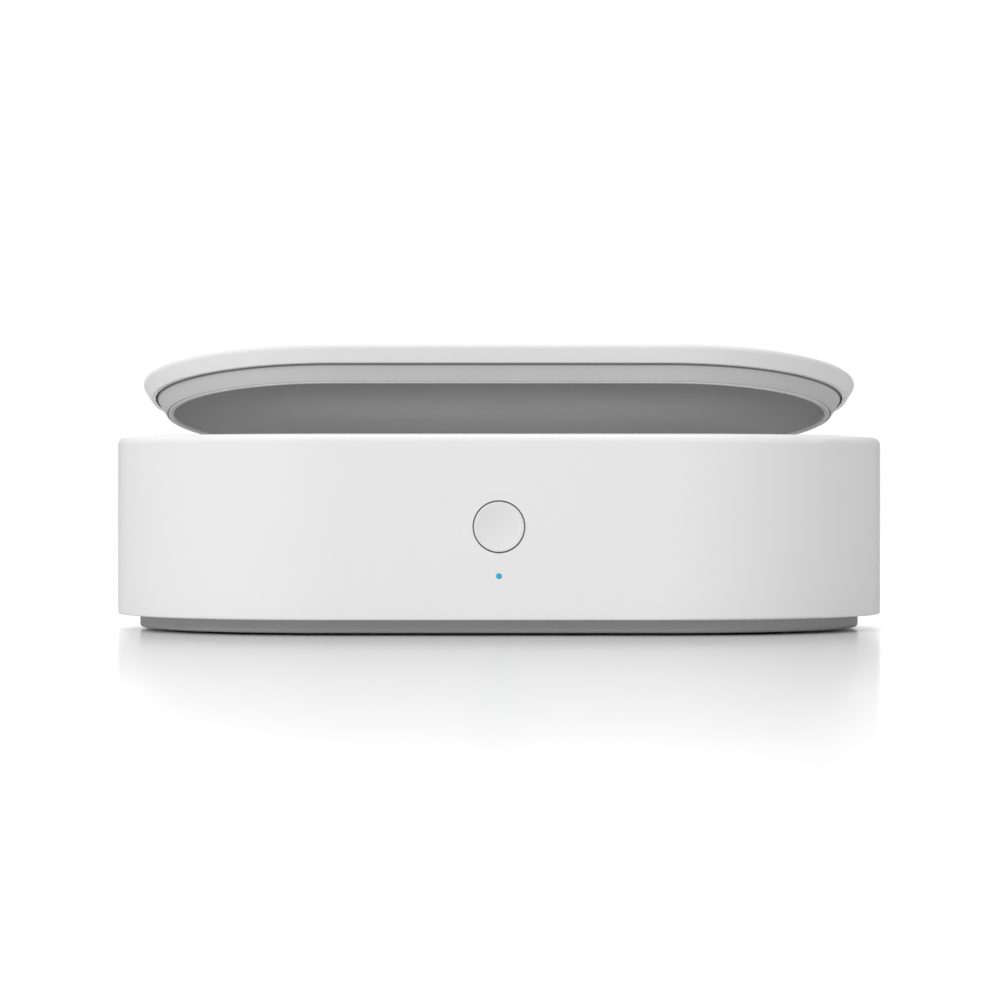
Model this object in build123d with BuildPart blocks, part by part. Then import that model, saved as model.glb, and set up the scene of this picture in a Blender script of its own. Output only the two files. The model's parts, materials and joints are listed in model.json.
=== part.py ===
from build123d import *
import os
from math import cos, radians, sin, sqrt, tan

# A slot-shaped box for disinfecting a phone with ultraviolet light, lid ajar.
# Millimetres. X runs along the box, -Y is its front, Z is up from the surface it stands on.
# An inset is a distance in from the outline of the outer shell, square to it.

# ---- outline and heights
body_length = 218.0
body_depth = 127.0
body_height = 50.25             # skirt edge to deck
plinth_height = 3.75            # plinth foot to skirt edge
foot_proud = 0.6
fit_gap = 0.02                  # round a piece pressed into its seat
deck_gap = 0.3                  # between shell and plinth flange

# ---- outer shell
shell_wall = 2.4
deck_thickness = 2.4
deck_edge_radius = 2.3
skirt_edge_radius = 0.5
inner_edge_radius = 1.0
mouth_edge_radius = 0.4

# ---- base plate
plinth_inset = 6.3
plinth_edge_radius = 1.0
plinth_wall = 2.2
base_floor = 2.2
base_flange = 2.0
flange_recess = 0.65            # flange above the skirt edge
foot_radius = 7.0
foot_thickness = 1.6
foot_inset = 21.2
foot_angle = 51.0
foot_edge_radius = 0.3
foot_gap = 0.1

# ---- lid, measured from the plane of its rim
lid_open = 9.95                 # degrees from shut, as it stands
rim_gap = 0.2                   # rim above the deck when shut
lid_height = 5.0
rim_inset = 9.4
lid_top_inset = 6.3             # of the sharp top edge, before it is rounded
lid_edge_radius = 1.15
rim_edge_radius = 0.2
rim_width = 1.2
cover_plate = 2.2
cover_wall = 1.75               # side wall where it meets the plate
plug_groove = 0.5
plug_drop = 4.275
plug_taper = 2.7
plug_wall = 1.3
plug_edge_radius = 0.12
plug_clearance = 0.8
lip_width = 2.0
lip_thickness = 0.9
seal_seat = 0.3                 # step in the lip that the seal lies in
seal_wall = 0.3                 # edge of the plug outside that step
seal_line = 0.25                # open line between that edge and the seal
seal_proud = 0.3
seal_edge_radius = 0.25
frame_top = 0.5
frame_flange = 1.2
frame_flange_width = 7.8
liner_thickness = 0.6
liner_ceiling = 1.0
liner_run = 16.4                # width of the curved margin of the dish
liner_tuck = 1.2                # liner edge hidden behind the lip
frame_screw_margin = 2.2        # in from the edge of the flange
frame_screw_angle = 50.0

# ---- tray
tray_wall = 2.0
tray_inset = 14.5
bay_height = 15.0               # from plinth flange to tray floor
tray_corner_radius = 6.0
tray_flange = 1.6
tray_flange_inset = 3.6
tray_boss_height = 4.6
tray_screw_inset = 7.0
tray_screw_angle = 55.0
rest_length = 64.0
rest_width = 3.0
rest_height = 2.0
rest_corner_radius = 1.4
rest_edge_radius = 0.5
rest_spread = 30.0

# ---- hinge
hinge_inset = 5.5
hinge_rise = 0.8                # pivot above the deck
hinge_spread = 30.0
knuckle_radius = 2.1
knuckle_width = 9.4
knuckle_gap = 0.3
ear_width = 4.0
pin_radius = 0.75
sleeve_radius = 1.25
sleeve_running_gap = 0.05
bracket_pad = 1.8
bracket_boss_height = 2.5
bracket_length = 34.0
bracket_depth = 7.2
bracket_screw_spread = 14.0
well_gap = 0.5                  # round the ears in the deck
arm_leaf = 1.2
arm_leaf_gap = 0.3              # leaf above the lid frame
arm_leaf_width = 20.0
arm_leaf_reach = 18.5           # leaf end in front of the pivot
arm_leaf_start = 4.8
arm_screw_reach = 15.5
arm_screw_spread = 6.0
cover_notch_gap = 0.6

# ---- lamps
window_length = 28.0
window_width = 12.0
window_thickness = 1.2
window_ledge = 2.0
window_corner_radius = 1.0
lamp_board_length = 34.0
lamp_board_width = 15.0
lamp_board_thickness = 1.6
emitter_size = 3.5
emitter_height = 0.7
emitter_spread = 7.0
floor_lamp_offset = 12.5        # outwards from the centre of the round end
rear_lamp_spread = 24.0
rear_lamp_height = 13.0         # centre above the tray floor

# ---- button and indicator
button_height = 25.15           # centre above the skirt edge
button_bore_radius = 7.15
button_gap = 0.38
button_travel = 0.6
button_edge_radius = 0.25
finger_dip = 0.45               # hollow of the cap's face
finger_dip_margin = 0.35        # flat edge round that hollow
cap_flange_radius = 8.3
cap_flange = 1.0
cap_back_gap = 0.15
guide_gap = 0.4
guide_wall = 1.1
guide_depth = 3.0
stem_radius = 2.0
plunger_radius = 1.75
plunger_bore_gap = 0.1
plunger_proud = 1.0
plunger_depth = 0.3             # inside the switch, released
switch_size = 6.0
switch_height = 3.5
switch_bore_depth = 1.2
switch_corner_radius = 0.4
indicator_drop = 13.3           # below the centre of the button
pipe_radius = 0.8
pipe_body_radius = 1.5
pipe_boss_wall = 1.2
pipe_boss_depth = 2.6
pipe_led_gap = 0.3

# ---- button board
board_thickness = 1.6
button_board_inset = 9.0
button_board_width = 40.0
button_board_up = 15.5
button_board_down = 18.0
button_board_screw_margin = 3.0
button_board_screw_up = 12.0
button_board_screw_down = 14.5
led_width = 2.0
led_depth = 1.25
led_height = 0.8
hall_width = 2.9
hall_depth = 1.6
hall_height = 1.1
hall_x = 8.0
hall_up = 14.0
magnet_length = 10.0
magnet_width = 4.0
magnet_height = 2.0
magnet_margin = 0.5

# ---- main board
main_board_width = 76.0
main_board_depth = 42.0
main_board_inset = 5.0          # rear edge
main_board_lift = 1.6           # above the plinth flange
standoff_radius = 2.75
standoff_margin = 4.0
standoff_rear_margin = 7.0      # the rear pair stands clear of the plinth wall
usb_width = 8.94
usb_height = 3.26
usb_depth = 7.4
usb_wall = 0.3
usb_corner_radius = 1.6
usb_proud = 1.3                 # mouth outside the shell's inner face
usb_tongue_width = 6.7
usb_tongue_height = 0.7
usb_tongue_length = 4.4
usb_opening_gap = 0.25
chip_size = 7.0
chip_height = 1.0
chip_place = (-14.0, -3.5)      # places on the board, from its middle
driver_width = 5.0
driver_depth = 6.0
driver_height = 1.6
driver_place = (0.0, -7.5)
inductor_size = 8.0
inductor_height = 4.0
inductor_corner = 1.2
inductor_place = (14.0, 0.5)
capacitor_radius = 3.15
capacitor_height = 7.7
capacitor_places = [(18.0, -11.5), (18.0, 12.5)]
header_width = 5.0
header_length = 7.5
header_height = 6.0
lamp_header_margin = 5.5        # middle of the header in from the board's side
lamp_header_y = {"floor": -9.5, "rear": 1.5}
button_header_margin = 4.0      # in from the board's front edge
front_header_margin = 8.0       # in from the side of the button board
front_header_drop = 7.5
front_header_depth = 4.5

# ---- leads and screws
lead_radius = 0.8
lead_exit = 6.0                 # straight out of a header
lead_step = 6.0
lead_sag = 1.0
lead_sway = 1.0
lead_inset = 9.0                # end of a floor lead, from the middle of its lamp board
lead_edge = 4.0                 # end of a rear lead, from the edge of its lamp board
lead_off_wall = 4.2
lead_under_board = 2.2
floor_lead_y = 2.0
button_lead_route = [(0.13, 0.0, 0.0), (0.40, 0.33, 0.35), (0.70, 0.83, 0.75), (0.86, 1.0, 1.0)]
screw_shank = 0.05              # screw threads stand this clear of their holes
screw_pass = 0.2                # clearance holes, and round the heads
sunk_gap = 0.1                  # round a countersunk head
foot_over_head = 0.2
hole_spare = 0.5                # hole beyond the tip of its screw
deck_skin = 1.0                 # left over a blind hole
wall_skin = 1.0
cover_skin = 0.7
m2_radius, m2_head_radius, m2_head_height, m2_length = 1.0, 1.9, 1.3, 4.4
m2_sunk_head_height, m2_sunk_length = 1.0, 3.4
m3_radius, m3_head_radius, m3_head_height, m3_length = 1.5, 2.75, 2.2, 12.0
boss_radius = 2.8
slim_boss_radius = 2.2
base_boss_radius = 4.2
base_boss_seat = 3.0            # top of the plinth bosses above the flange

# ---- derived levels and places
end_radius = body_depth / 2
half_straight = (body_length - body_depth) / 2
plinth_foot = foot_proud
skirt_level = plinth_foot + plinth_height
deck_level = skirt_level + body_height
deck_underside = deck_level - deck_thickness
flange_bottom = skirt_level + flange_recess
flange_top = flange_bottom + base_flange
floor_top = plinth_foot + base_floor
tray_underside = flange_top + bay_height
tray_floor = tray_underside + tray_wall
rim_level = deck_level + rim_gap
plug_inset = rim_inset + rim_width + plug_groove
tray_flange_top = deck_underside - tray_boss_height
tray_flange_bottom = tray_flange_top - tray_flange
button_level = skirt_level + button_height
indicator_level = button_level - indicator_drop
board_level = flange_top + main_board_lift
board_top = board_level + board_thickness
lip_inset = plug_inset + plug_taper + lip_width


def at(inset):
    """Distance of an inset line from the centre line of the slot."""
    return end_radius - inset


def seat_inset(level):
    """Inset of the tapered mouth that the lid's plug drops into, at a level of the body."""
    return plug_inset - plug_clearance + (rim_level - level) * plug_taper / plug_drop


def on_end(inset, angle):
    """Point on an inset line round the right end, at an angle from +X."""
    return (half_straight + at(inset) * cos(radians(angle)), at(inset) * sin(radians(angle)))


def both_sides(points):
    """The points and their mirror images in X."""
    return points + [(-x, y) for x, y in points if x]


# ---- planes
body = Plane.XY
front = Plane.XZ
rear = Plane(origin=(0, 0, 0), x_dir=(-1, 0, 0), z_dir=(0, 1, 0))
tilt = radians(lid_open)
hinge = Vector(0, at(hinge_inset), deck_level + hinge_rise)
lid_back = Vector(0, cos(tilt), -sin(tilt))
lid_up = Vector(0, sin(tilt), cos(tilt))
lid_centre = hinge - lid_back * hinge.Y - lid_up * (hinge.Z - rim_level)
lid = Plane(origin=lid_centre, x_dir=(1, 0, 0), z_dir=lid_up)
lid_pivot_height = hinge.Z - rim_level


def end_plane(base):
    """Plane of a half section at the right end of the straight run: x to the rear, y up."""
    return Plane(origin=base.origin + base.x_dir * half_straight, x_dir=base.y_dir, z_dir=base.x_dir)


# ---- operations on the part that is open
def all_round(profile, base=body):
    """Carries a half section round the slot-shaped outline."""
    revolve(profile.sketch, axis=Axis(end_plane(base).origin, base.z_dir * -1), revolution_arc=90)
    extrude(profile.sketch, amount=-half_straight)
    mirror(about=Plane(origin=base.origin, z_dir=base.y_dir))
    mirror(about=Plane(origin=base.origin, z_dir=base.x_dir))


def posts(points, radius, low, high, base=body, mode=Mode.ADD):
    """Round posts, or holes, at points of a base plane between two heights."""
    with BuildSketch(base.offset(low)) as outline:
        with Locations(*points):
            Circle(radius)
    extrude(outline.sketch, amount=high - low, mode=mode)


def blocks(points, width, depth, low, high, base=body, corner=0.0, mode=Mode.ADD):
    """Rectangular blocks, or pockets, at points of a base plane between two heights."""
    with BuildSketch(base.offset(low)) as outline:
        with Locations(*points):
            if corner:
                RectangleRounded(width, depth, corner)
            else:
                Rectangle(width, depth)
    extrude(outline.sketch, amount=high - low, mode=mode)


def corner_at(sketch, r, z):
    """The corner of a section that lies nearest to a point."""
    return sketch.vertices().sort_by_distance((r, z, 0))[0]


def save(piece, name):
    """Labels a finished piece and writes it."""
    piece.part.label = name
    export_step(piece.part, f"parts/{name}.step")


os.makedirs("parts", exist_ok=True)

# ---- fastener places
tray_screws_at = both_sides(
    [(hinge_spread, -at(tray_screw_inset))]
    + [on_end(tray_screw_inset, angle) for angle in (-tray_screw_angle, 0, tray_screw_angle)]
) + [(0, at(tray_screw_inset))]
feet_at = both_sides([on_end(foot_inset, foot_angle), on_end(foot_inset, -foot_angle)])
frame_screw_inset = plug_inset + frame_flange_width - frame_screw_margin
frame_screws_at = both_sides(
    [(hinge_spread, -at(frame_screw_inset))]
    + [on_end(frame_screw_inset, angle) for angle in (-frame_screw_angle, 0, frame_screw_angle)]
) + [(0, at(frame_screw_inset))]
hinge_sides = {"left": -hinge_spread, "right": hinge_spread}
bracket_screws_at = [
    (x + step, at(tray_screw_inset))
    for x in hinge_sides.values()
    for step in (-bracket_screw_spread, bracket_screw_spread)
]
arm_screws_at = [
    (x + step, hinge.Y - arm_screw_reach)
    for x in hinge_sides.values()
    for step in (-arm_screw_spread, arm_screw_spread)
]
button_board_screw_x = button_board_width / 2 - button_board_screw_margin
button_board_screws_at = [
    (x, button_level + up)
    for x in (-button_board_screw_x, button_board_screw_x)
    for up in (button_board_screw_up, -button_board_screw_down)
]
main_board_y = at(main_board_inset) - main_board_depth / 2
standoffs_at = [
    (side * (main_board_width / 2 - standoff_margin), y)
    for side in (-1, 1)
    for y in (
        main_board_y - main_board_depth / 2 + standoff_margin,
        main_board_y + main_board_depth / 2 - standoff_rear_margin,
    )
]



def on_main_board(place):
    """Point of the plan, from a place on the main board."""
    return (place[0], main_board_y + place[1])


# ---- lamp places: planes on the chamber side of the wall, z outwards through it
lamp_planes = {
    "floor_left": Plane((-half_straight - floor_lamp_offset, 0, tray_floor), (1, 0, 0), (0, 0, -1)),
    "floor_right": Plane((half_straight + floor_lamp_offset, 0, tray_floor), (1, 0, 0), (0, 0, -1)),
    "rear_left": Plane(
        (-rear_lamp_spread, at(tray_inset), tray_floor + rear_lamp_height), (-1, 0, 0), (0, 1, 0)
    ),
    "rear_right": Plane(
        (rear_lamp_spread, at(tray_inset), tray_floor + rear_lamp_height), (-1, 0, 0), (0, 1, 0)
    ),
}

# ---- outer shell
with BuildSketch(end_plane(body)) as shell_section:
    with BuildLine():
        Polyline(
            (at(0), skirt_level),
            (at(0), deck_level),
            (at(seat_inset(deck_level)), deck_level),
            (at(seat_inset(deck_underside)), deck_underside),
            (at(shell_wall), deck_underside),
            (at(shell_wall), skirt_level),
            close=True,
        )
    make_face()
    fillet(corner_at(shell_section, at(0), deck_level), deck_edge_radius)
    fillet(corner_at(shell_section, at(0), skirt_level), skirt_edge_radius)
    fillet(corner_at(shell_section, at(shell_wall), deck_underside), inner_edge_radius)
    fillet(corner_at(shell_section, at(seat_inset(deck_level)), deck_level), mouth_edge_radius)

well_width = knuckle_width + 2 * (knuckle_gap + ear_width + well_gap)
well_depth = 2 * (knuckle_radius + well_gap)
guide_inner_radius = cap_flange_radius + guide_gap
pipe_boss_radius = pipe_body_radius + pipe_boss_wall
inner_face = at(shell_wall)

with BuildPart() as outer_shell:
    all_round(shell_section)
    posts(tray_screws_at, boss_radius, tray_flange_top, deck_underside)
    posts(
        bracket_screws_at, boss_radius, deck_underside - bracket_boss_height, deck_underside
    )
    posts([(0, button_level)], guide_inner_radius + guide_wall, inner_face - guide_depth, inner_face, front)
    posts([(0, button_level)], guide_inner_radius, inner_face - guide_depth, inner_face, front, Mode.SUBTRACT)
    posts([(0, indicator_level)], pipe_boss_radius, inner_face - pipe_boss_depth, inner_face, front)
    posts(button_board_screws_at, boss_radius, at(button_board_inset), inner_face, front)
    # openings and holes
    posts([(0, button_level)], button_bore_radius, inner_face, at(0), front, Mode.SUBTRACT)
    posts(
        [(0, indicator_level)], pipe_radius + fit_gap, inner_face, at(0), front, Mode.SUBTRACT
    )
    posts(
        [(0, indicator_level)], pipe_body_radius + fit_gap,
        inner_face - pipe_boss_depth, inner_face, front, Mode.SUBTRACT,
    )
    blocks(
        [(x, hinge.Y) for x in hinge_sides.values()], well_width, well_depth,
        deck_underside, deck_level, mode=Mode.SUBTRACT,
    )
    blocks(
        [(0, board_top + usb_height / 2)],
        usb_width + 2 * usb_opening_gap, usb_height + 2 * usb_opening_gap,
        inner_face, at(0), rear, usb_corner_radius, Mode.SUBTRACT,
    )
    hole_radius = m2_radius + screw_shank
    boss_hole_end = deck_level - deck_skin
    posts(tray_screws_at, hole_radius, tray_flange_top, boss_hole_end, mode=Mode.SUBTRACT)
    posts(
        bracket_screws_at, hole_radius, deck_underside - bracket_boss_height, boss_hole_end,
        mode=Mode.SUBTRACT,
    )
    posts(
        button_board_screws_at, hole_radius, at(button_board_inset), inner_face + wall_skin, front,
        Mode.SUBTRACT,
    )

# ---- base plate
foot_seat = foot_thickness - foot_proud
head_seat = plinth_foot + foot_seat + foot_over_head + m3_head_height
base_boss_top = flange_top + base_boss_seat

with BuildSketch(end_plane(body)) as base_section:
    with BuildLine():
        Polyline(
            (0, plinth_foot),
            (at(plinth_inset), plinth_foot),
            (at(plinth_inset), flange_bottom),
            (at(shell_wall + deck_gap), flange_bottom),
            (at(shell_wall + deck_gap), flange_top),
            (at(plinth_inset + plinth_wall), flange_top),
            (at(plinth_inset + plinth_wall), floor_top),
            (0, floor_top),
            close=True,
        )
    make_face()
    fillet(corner_at(base_section, at(plinth_inset), plinth_foot), plinth_edge_radius)

with BuildPart() as base_plate:
    all_round(base_section)
    posts(feet_at, base_boss_radius, floor_top, base_boss_top)
    posts(standoffs_at, standoff_radius, floor_top, board_level)
    posts(feet_at, foot_radius + foot_gap, plinth_foot, plinth_foot + foot_seat, mode=Mode.SUBTRACT)
    posts(feet_at, m3_head_radius + screw_pass, plinth_foot, head_seat, mode=Mode.SUBTRACT)
    posts(feet_at, m3_radius + screw_pass, head_seat, base_boss_top, mode=Mode.SUBTRACT)
    posts(
        standoffs_at, m2_radius + screw_shank, board_level - m2_length, board_level,
        mode=Mode.SUBTRACT,
    )
save(base_plate, "base_plate")

with BuildPart() as rubber_feet:
    posts(feet_at, foot_radius, 0, foot_thickness)
    fillet(rubber_feet.faces().group_by(Axis.Z)[0].edges(), foot_edge_radius)
save(rubber_feet, "rubber_feet")

# ---- tray
tray_outer = tray_inset - tray_wall
bevel_end = rim_level - (tray_inset - plug_inset + plug_clearance) * plug_drop / plug_taper
with BuildSketch(end_plane(body)) as tray_section:
    with BuildLine():
        Polyline(
            (0, tray_underside),
            (at(tray_outer), tray_underside),
            (at(tray_outer), tray_flange_bottom),
            (at(tray_flange_inset), tray_flange_bottom),
            (at(tray_flange_inset), tray_flange_top),
            (at(tray_outer), tray_flange_top),
            (at(tray_outer), bevel_end),
            (at(seat_inset(deck_underside) - tray_wall), deck_underside),
            (at(seat_inset(deck_underside)), deck_underside),
            (at(tray_inset), bevel_end),
            (at(tray_inset), tray_floor),
            (0, tray_floor),
            close=True,
        )
    make_face()
    fillet(corner_at(tray_section, at(tray_outer), tray_underside), tray_corner_radius + tray_wall)
    fillet(corner_at(tray_section, at(tray_inset), tray_floor), tray_corner_radius)

with BuildPart() as chamber_tray:
    all_round(tray_section)
    posts(feet_at, base_boss_radius, base_boss_top, tray_underside + tray_wall / 2)
    posts(tray_screws_at, m2_radius + screw_pass, tray_flange_bottom, tray_flange_top, mode=Mode.SUBTRACT)
    posts(
        feet_at, m3_radius + screw_shank, base_boss_top, head_seat + m3_length + hole_spare,
        mode=Mode.SUBTRACT,
    )
    # the flange gives way to the hinge brackets
    gate_width = bracket_length + 2 * well_gap
    gate_depth = tray_outer - tray_flange_inset
    blocks(
        [(x, at(tray_outer) + gate_depth / 2) for x in hinge_sides.values()],
        gate_width, gate_depth, tray_flange_bottom, tray_flange_top, mode=Mode.SUBTRACT,
    )
    for place in lamp_planes.values():
        blocks(
            [(0, 0)], window_length + 2 * fit_gap, window_width + 2 * fit_gap,
            0, window_thickness, place, window_corner_radius, Mode.SUBTRACT,
        )
        blocks(
            [(0, 0)], window_length - 2 * window_ledge, window_width - 2 * window_ledge,
            0, tray_wall, place, mode=Mode.SUBTRACT,
        )
save(chamber_tray, "chamber_tray")

for side, x in {"left": -rest_spread, "right": rest_spread}.items():
    with BuildPart() as phone_rest:
        blocks([(x, 0)], rest_width, rest_length, tray_floor, tray_floor + rest_height,
               corner=rest_corner_radius)
        fillet(phone_rest.faces().sort_by(Axis.Z)[-1].edges(), rest_edge_radius)
    save(phone_rest, f"phone_rest_{side}")

for name, place in lamp_planes.items():
    with BuildPart() as uv_window:
        blocks([(0, 0)], window_length, window_width, 0, window_thickness, place,
               window_corner_radius - fit_gap)
    save(uv_window, f"uv_window_{name}")
    with BuildPart() as uv_board:
        blocks([(0, 0)], lamp_board_length, lamp_board_width, tray_wall,
               tray_wall + lamp_board_thickness, place)
    save(uv_board, f"uv_board_{name}")
    with BuildPart() as uv_leds:
        blocks([(-emitter_spread, 0), (emitter_spread, 0)], emitter_size, emitter_size,
               tray_wall - emitter_height, tray_wall, place)
    save(uv_leds, f"uv_leds_{name}")
save(outer_shell, "outer_shell")

# ---- lid
with BuildSketch(end_plane(lid)) as cover_section:
    with BuildLine():
        Polyline(
            (0, lid_height),
            (at(lid_top_inset), lid_height),
            (at(rim_inset), 0),
            (at(rim_inset + rim_width), 0),
            (at(rim_inset), lid_height - cover_plate),
            (0, lid_height - cover_plate),
            close=True,
        )
    make_face()
    fillet(corner_at(cover_section, at(lid_top_inset), lid_height), lid_edge_radius)
    fillet(corner_at(cover_section, at(rim_inset), 0), rim_edge_radius)

plate_underside = lid_height - cover_plate
leaf_bottom = frame_top + arm_leaf_gap
leaf_top = leaf_bottom + arm_leaf
cover_hole_end = lid_height - cover_skin

with BuildPart() as lid_cover:
    all_round(cover_section, lid)
    posts(frame_screws_at, slim_boss_radius, frame_top, plate_underside, lid)
    posts(arm_screws_at, slim_boss_radius, leaf_top, plate_underside, lid)
    posts(frame_screws_at, m2_radius + screw_shank, frame_top, cover_hole_end, lid, Mode.SUBTRACT)
    posts(arm_screws_at, m2_radius + screw_shank, leaf_top, cover_hole_end, lid, Mode.SUBTRACT)
    blocks(
        [(x, at(rim_inset)) for x in hinge_sides.values()],
        knuckle_width + cover_notch_gap, 3 * rim_width + 2 * cover_wall,
        -rim_width, plate_underside, lid, mode=Mode.SUBTRACT,
    )
save(lid_cover, "lid_cover")

flange_low = frame_top - frame_flange
ledge_level = lip_thickness - plug_drop
seal_level = seal_seat - plug_drop
plug_end = plug_inset + plug_taper
with BuildSketch(end_plane(lid)) as frame_section:
    with BuildLine():
        Polyline(
            (at(plug_inset), frame_top),
            (at(plug_inset), 0),
            (at(plug_end), -plug_drop),
            (at(plug_end + seal_wall), -plug_drop),
            (at(plug_end + seal_wall), seal_level),
            (at(lip_inset), seal_level),
            (at(lip_inset), ledge_level),
            (at(lip_inset - liner_tuck), ledge_level),
            (at(plug_inset + plug_wall), flange_low),
            (at(plug_inset + frame_flange_width), flange_low),
            (at(plug_inset + frame_flange_width), frame_top),
            close=True,
        )
    make_face()
    for inset in (plug_end, plug_end + seal_wall):
        fillet(corner_at(frame_section, at(inset), -plug_drop), plug_edge_radius)

with BuildPart() as lid_frame:
    all_round(frame_section, lid)
    with Locations(*[lid.offset(flange_low) * Pos(x, y) for x, y in frame_screws_at]):
        Cone(m2_head_radius + sunk_gap, m2_radius + screw_pass, m2_sunk_head_height + sunk_gap,
             align=(Align.CENTER, Align.CENTER, Align.MIN), mode=Mode.SUBTRACT)
    posts(frame_screws_at, m2_radius + screw_pass, flange_low, frame_top, lid, Mode.SUBTRACT)
save(lid_frame, "lid_frame")

seal_start = plug_end + seal_wall + seal_line
seal_bottom = -plug_drop - seal_proud
with BuildSketch(end_plane(lid)) as seal_section:
    with BuildLine():
        Polyline(
            (at(seal_start), seal_level - fit_gap),
            (at(lip_inset), seal_level - fit_gap),
            (at(lip_inset), seal_bottom),
            (at(seal_start), seal_bottom),
            close=True,
        )
    make_face()
    for inset in (seal_start, lip_inset):
        fillet(corner_at(seal_section, at(inset), seal_bottom), seal_edge_radius)

with BuildPart() as lid_seal:
    all_round(seal_section, lid)
save(lid_seal, "lid_seal")

# the dish: an arc that leaves the lip and runs out level into the ceiling
dish_depth = liner_ceiling - ledge_level
dish_radius = (liner_run ** 2 + dish_depth ** 2) / (2 * dish_depth)
dish_start = at(lip_inset) - liner_run
liner_back = liner_ceiling + liner_thickness
liner_back_edge = ledge_level + liner_thickness
liner_back_run = sqrt(dish_depth * (2 * dish_radius + 2 * liner_thickness - dish_depth))
liner_edge = at(lip_inset - liner_tuck) - deck_gap
with BuildSketch(end_plane(lid)) as liner_section:
    with BuildLine():
        Line((0, liner_ceiling), (dish_start, liner_ceiling))
        TangentArc((dish_start, liner_ceiling), (at(lip_inset), ledge_level), tangent=(1, 0))
        Polyline(
            (at(lip_inset), ledge_level),
            (liner_edge, ledge_level),
            (liner_edge, liner_back_edge),
            (dish_start + liner_back_run, liner_back_edge),
        )
        TangentArc(
            (dish_start, liner_back), (dish_start + liner_back_run, liner_back_edge),
            tangent=(1, 0),
        )
        Polyline((dish_start, liner_back), (0, liner_back), (0, liner_ceiling))
    make_face()

with BuildPart() as lid_liner:
    all_round(liner_section, lid)
save(lid_liner, "lid_liner")

with BuildPart() as lid_magnet:
    blocks([(hall_x, -at(plug_inset + magnet_width / 2 + magnet_margin))], magnet_length, magnet_width,
           frame_top, frame_top + magnet_height, lid)
save(lid_magnet, "lid_magnet")

# ---- hinge
barrel_top = hinge.Z + knuckle_radius
boss_foot = deck_underside - bracket_boss_height
pad_bottom = boss_foot - bracket_pad
ear_offset = knuckle_width / 2 + knuckle_gap + ear_width / 2
pin_length = 2 * ear_offset + ear_width
side_plane = Plane.YZ
pad_y = at(shell_wall) - well_gap - bracket_depth / 2

for side, x in hinge_sides.items():
    ear_low = x - ear_offset - ear_width / 2
    with BuildPart() as hinge_bracket:
        blocks([(x, pad_y)], bracket_length, bracket_depth, pad_bottom, boss_foot)
        for ear_x in (x - ear_offset, x + ear_offset):
            blocks([(ear_x, hinge.Y)], ear_width, 2 * knuckle_radius, boss_foot, hinge.Z)
            posts([(hinge.Y, hinge.Z)], knuckle_radius, ear_x - ear_width / 2,
                  ear_x + ear_width / 2, side_plane)
        posts([(hinge.Y, hinge.Z)], pin_radius + fit_gap, ear_low, ear_low + pin_length,
              side_plane, Mode.SUBTRACT)
        posts([(x - bracket_screw_spread, at(tray_screw_inset)),
               (x + bracket_screw_spread, at(tray_screw_inset))],
              m2_radius + screw_pass, pad_bottom, boss_foot, mode=Mode.SUBTRACT)
    save(hinge_bracket, f"hinge_bracket_{side}")
    with BuildPart() as hinge_pin:
        posts([(hinge.Y, hinge.Z)], pin_radius, ear_low, ear_low + pin_length, side_plane)
    save(hinge_pin, f"hinge_pin_{side}")
    with BuildPart() as hinge_sleeve:
        posts([(hinge.Y, hinge.Z)], sleeve_radius, x - knuckle_width / 2,
              x + knuckle_width / 2, side_plane)
        posts([(hinge.Y, hinge.Z)], pin_radius + sleeve_running_gap, x - knuckle_width / 2,
              x + knuckle_width / 2, side_plane, Mode.SUBTRACT)
    save(hinge_sleeve, f"hinge_sleeve_{side}")

    leaf_front = hinge.Y - arm_leaf_reach
    leaf_rear = hinge.Y - arm_leaf_start
    with BuildPart() as hinge_arm:
        blocks([(x, (leaf_front + leaf_rear) / 2)], arm_leaf_width, leaf_rear - leaf_front,
               leaf_bottom, leaf_top, lid)
        blocks([(x, (leaf_rear + hinge.Y) / 2)], knuckle_width, hinge.Y - leaf_rear,
               leaf_bottom, leaf_top, lid)
        posts([(hinge.Y, hinge.Z)], knuckle_radius, x - knuckle_width / 2,
              x + knuckle_width / 2, side_plane)
        posts([(hinge.Y, hinge.Z)], sleeve_radius + fit_gap, x - knuckle_width / 2,
              x + knuckle_width / 2, side_plane, Mode.SUBTRACT)
        with Locations(*[lid.offset(leaf_bottom) * Pos(x + step, hinge.Y - arm_screw_reach)
                         for step in (-arm_screw_spread, arm_screw_spread)]):
            Cone(m2_head_radius + sunk_gap, m2_radius + screw_pass, m2_sunk_head_height,
                 align=(Align.CENTER, Align.CENTER, Align.MIN), mode=Mode.SUBTRACT)
        posts([(x + step, hinge.Y - arm_screw_reach) for step in (-arm_screw_spread, arm_screw_spread)],
              m2_radius + screw_pass, leaf_bottom, leaf_top, lid, Mode.SUBTRACT)
    save(hinge_arm, f"hinge_arm_{side}")

# ---- button and its switch
board_front = at(button_board_inset)          # distances along -Y
switch_front = board_front + switch_height
plunger_tip = switch_front + plunger_proud
cap_back = inner_face - cap_back_gap - cap_flange
dip_edge = button_bore_radius - button_gap - finger_dip_margin
dip_radius = (dip_edge ** 2 + finger_dip ** 2) / (2 * finger_dip)

with BuildPart() as power_button:
    posts([(0, button_level)], button_bore_radius - button_gap, cap_back, at(0), front)
    fillet(power_button.faces().sort_by(Axis.Y)[0].edges(), button_edge_radius)
    with Locations(front.offset(at(0) + dip_radius - finger_dip) * Pos(0, button_level)):
        Sphere(dip_radius, mode=Mode.SUBTRACT)
    posts([(0, button_level)], cap_flange_radius, cap_back, inner_face - cap_back_gap, front)
    posts([(0, button_level)], stem_radius, plunger_tip, cap_back, front)
save(power_button, "power_button")

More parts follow.
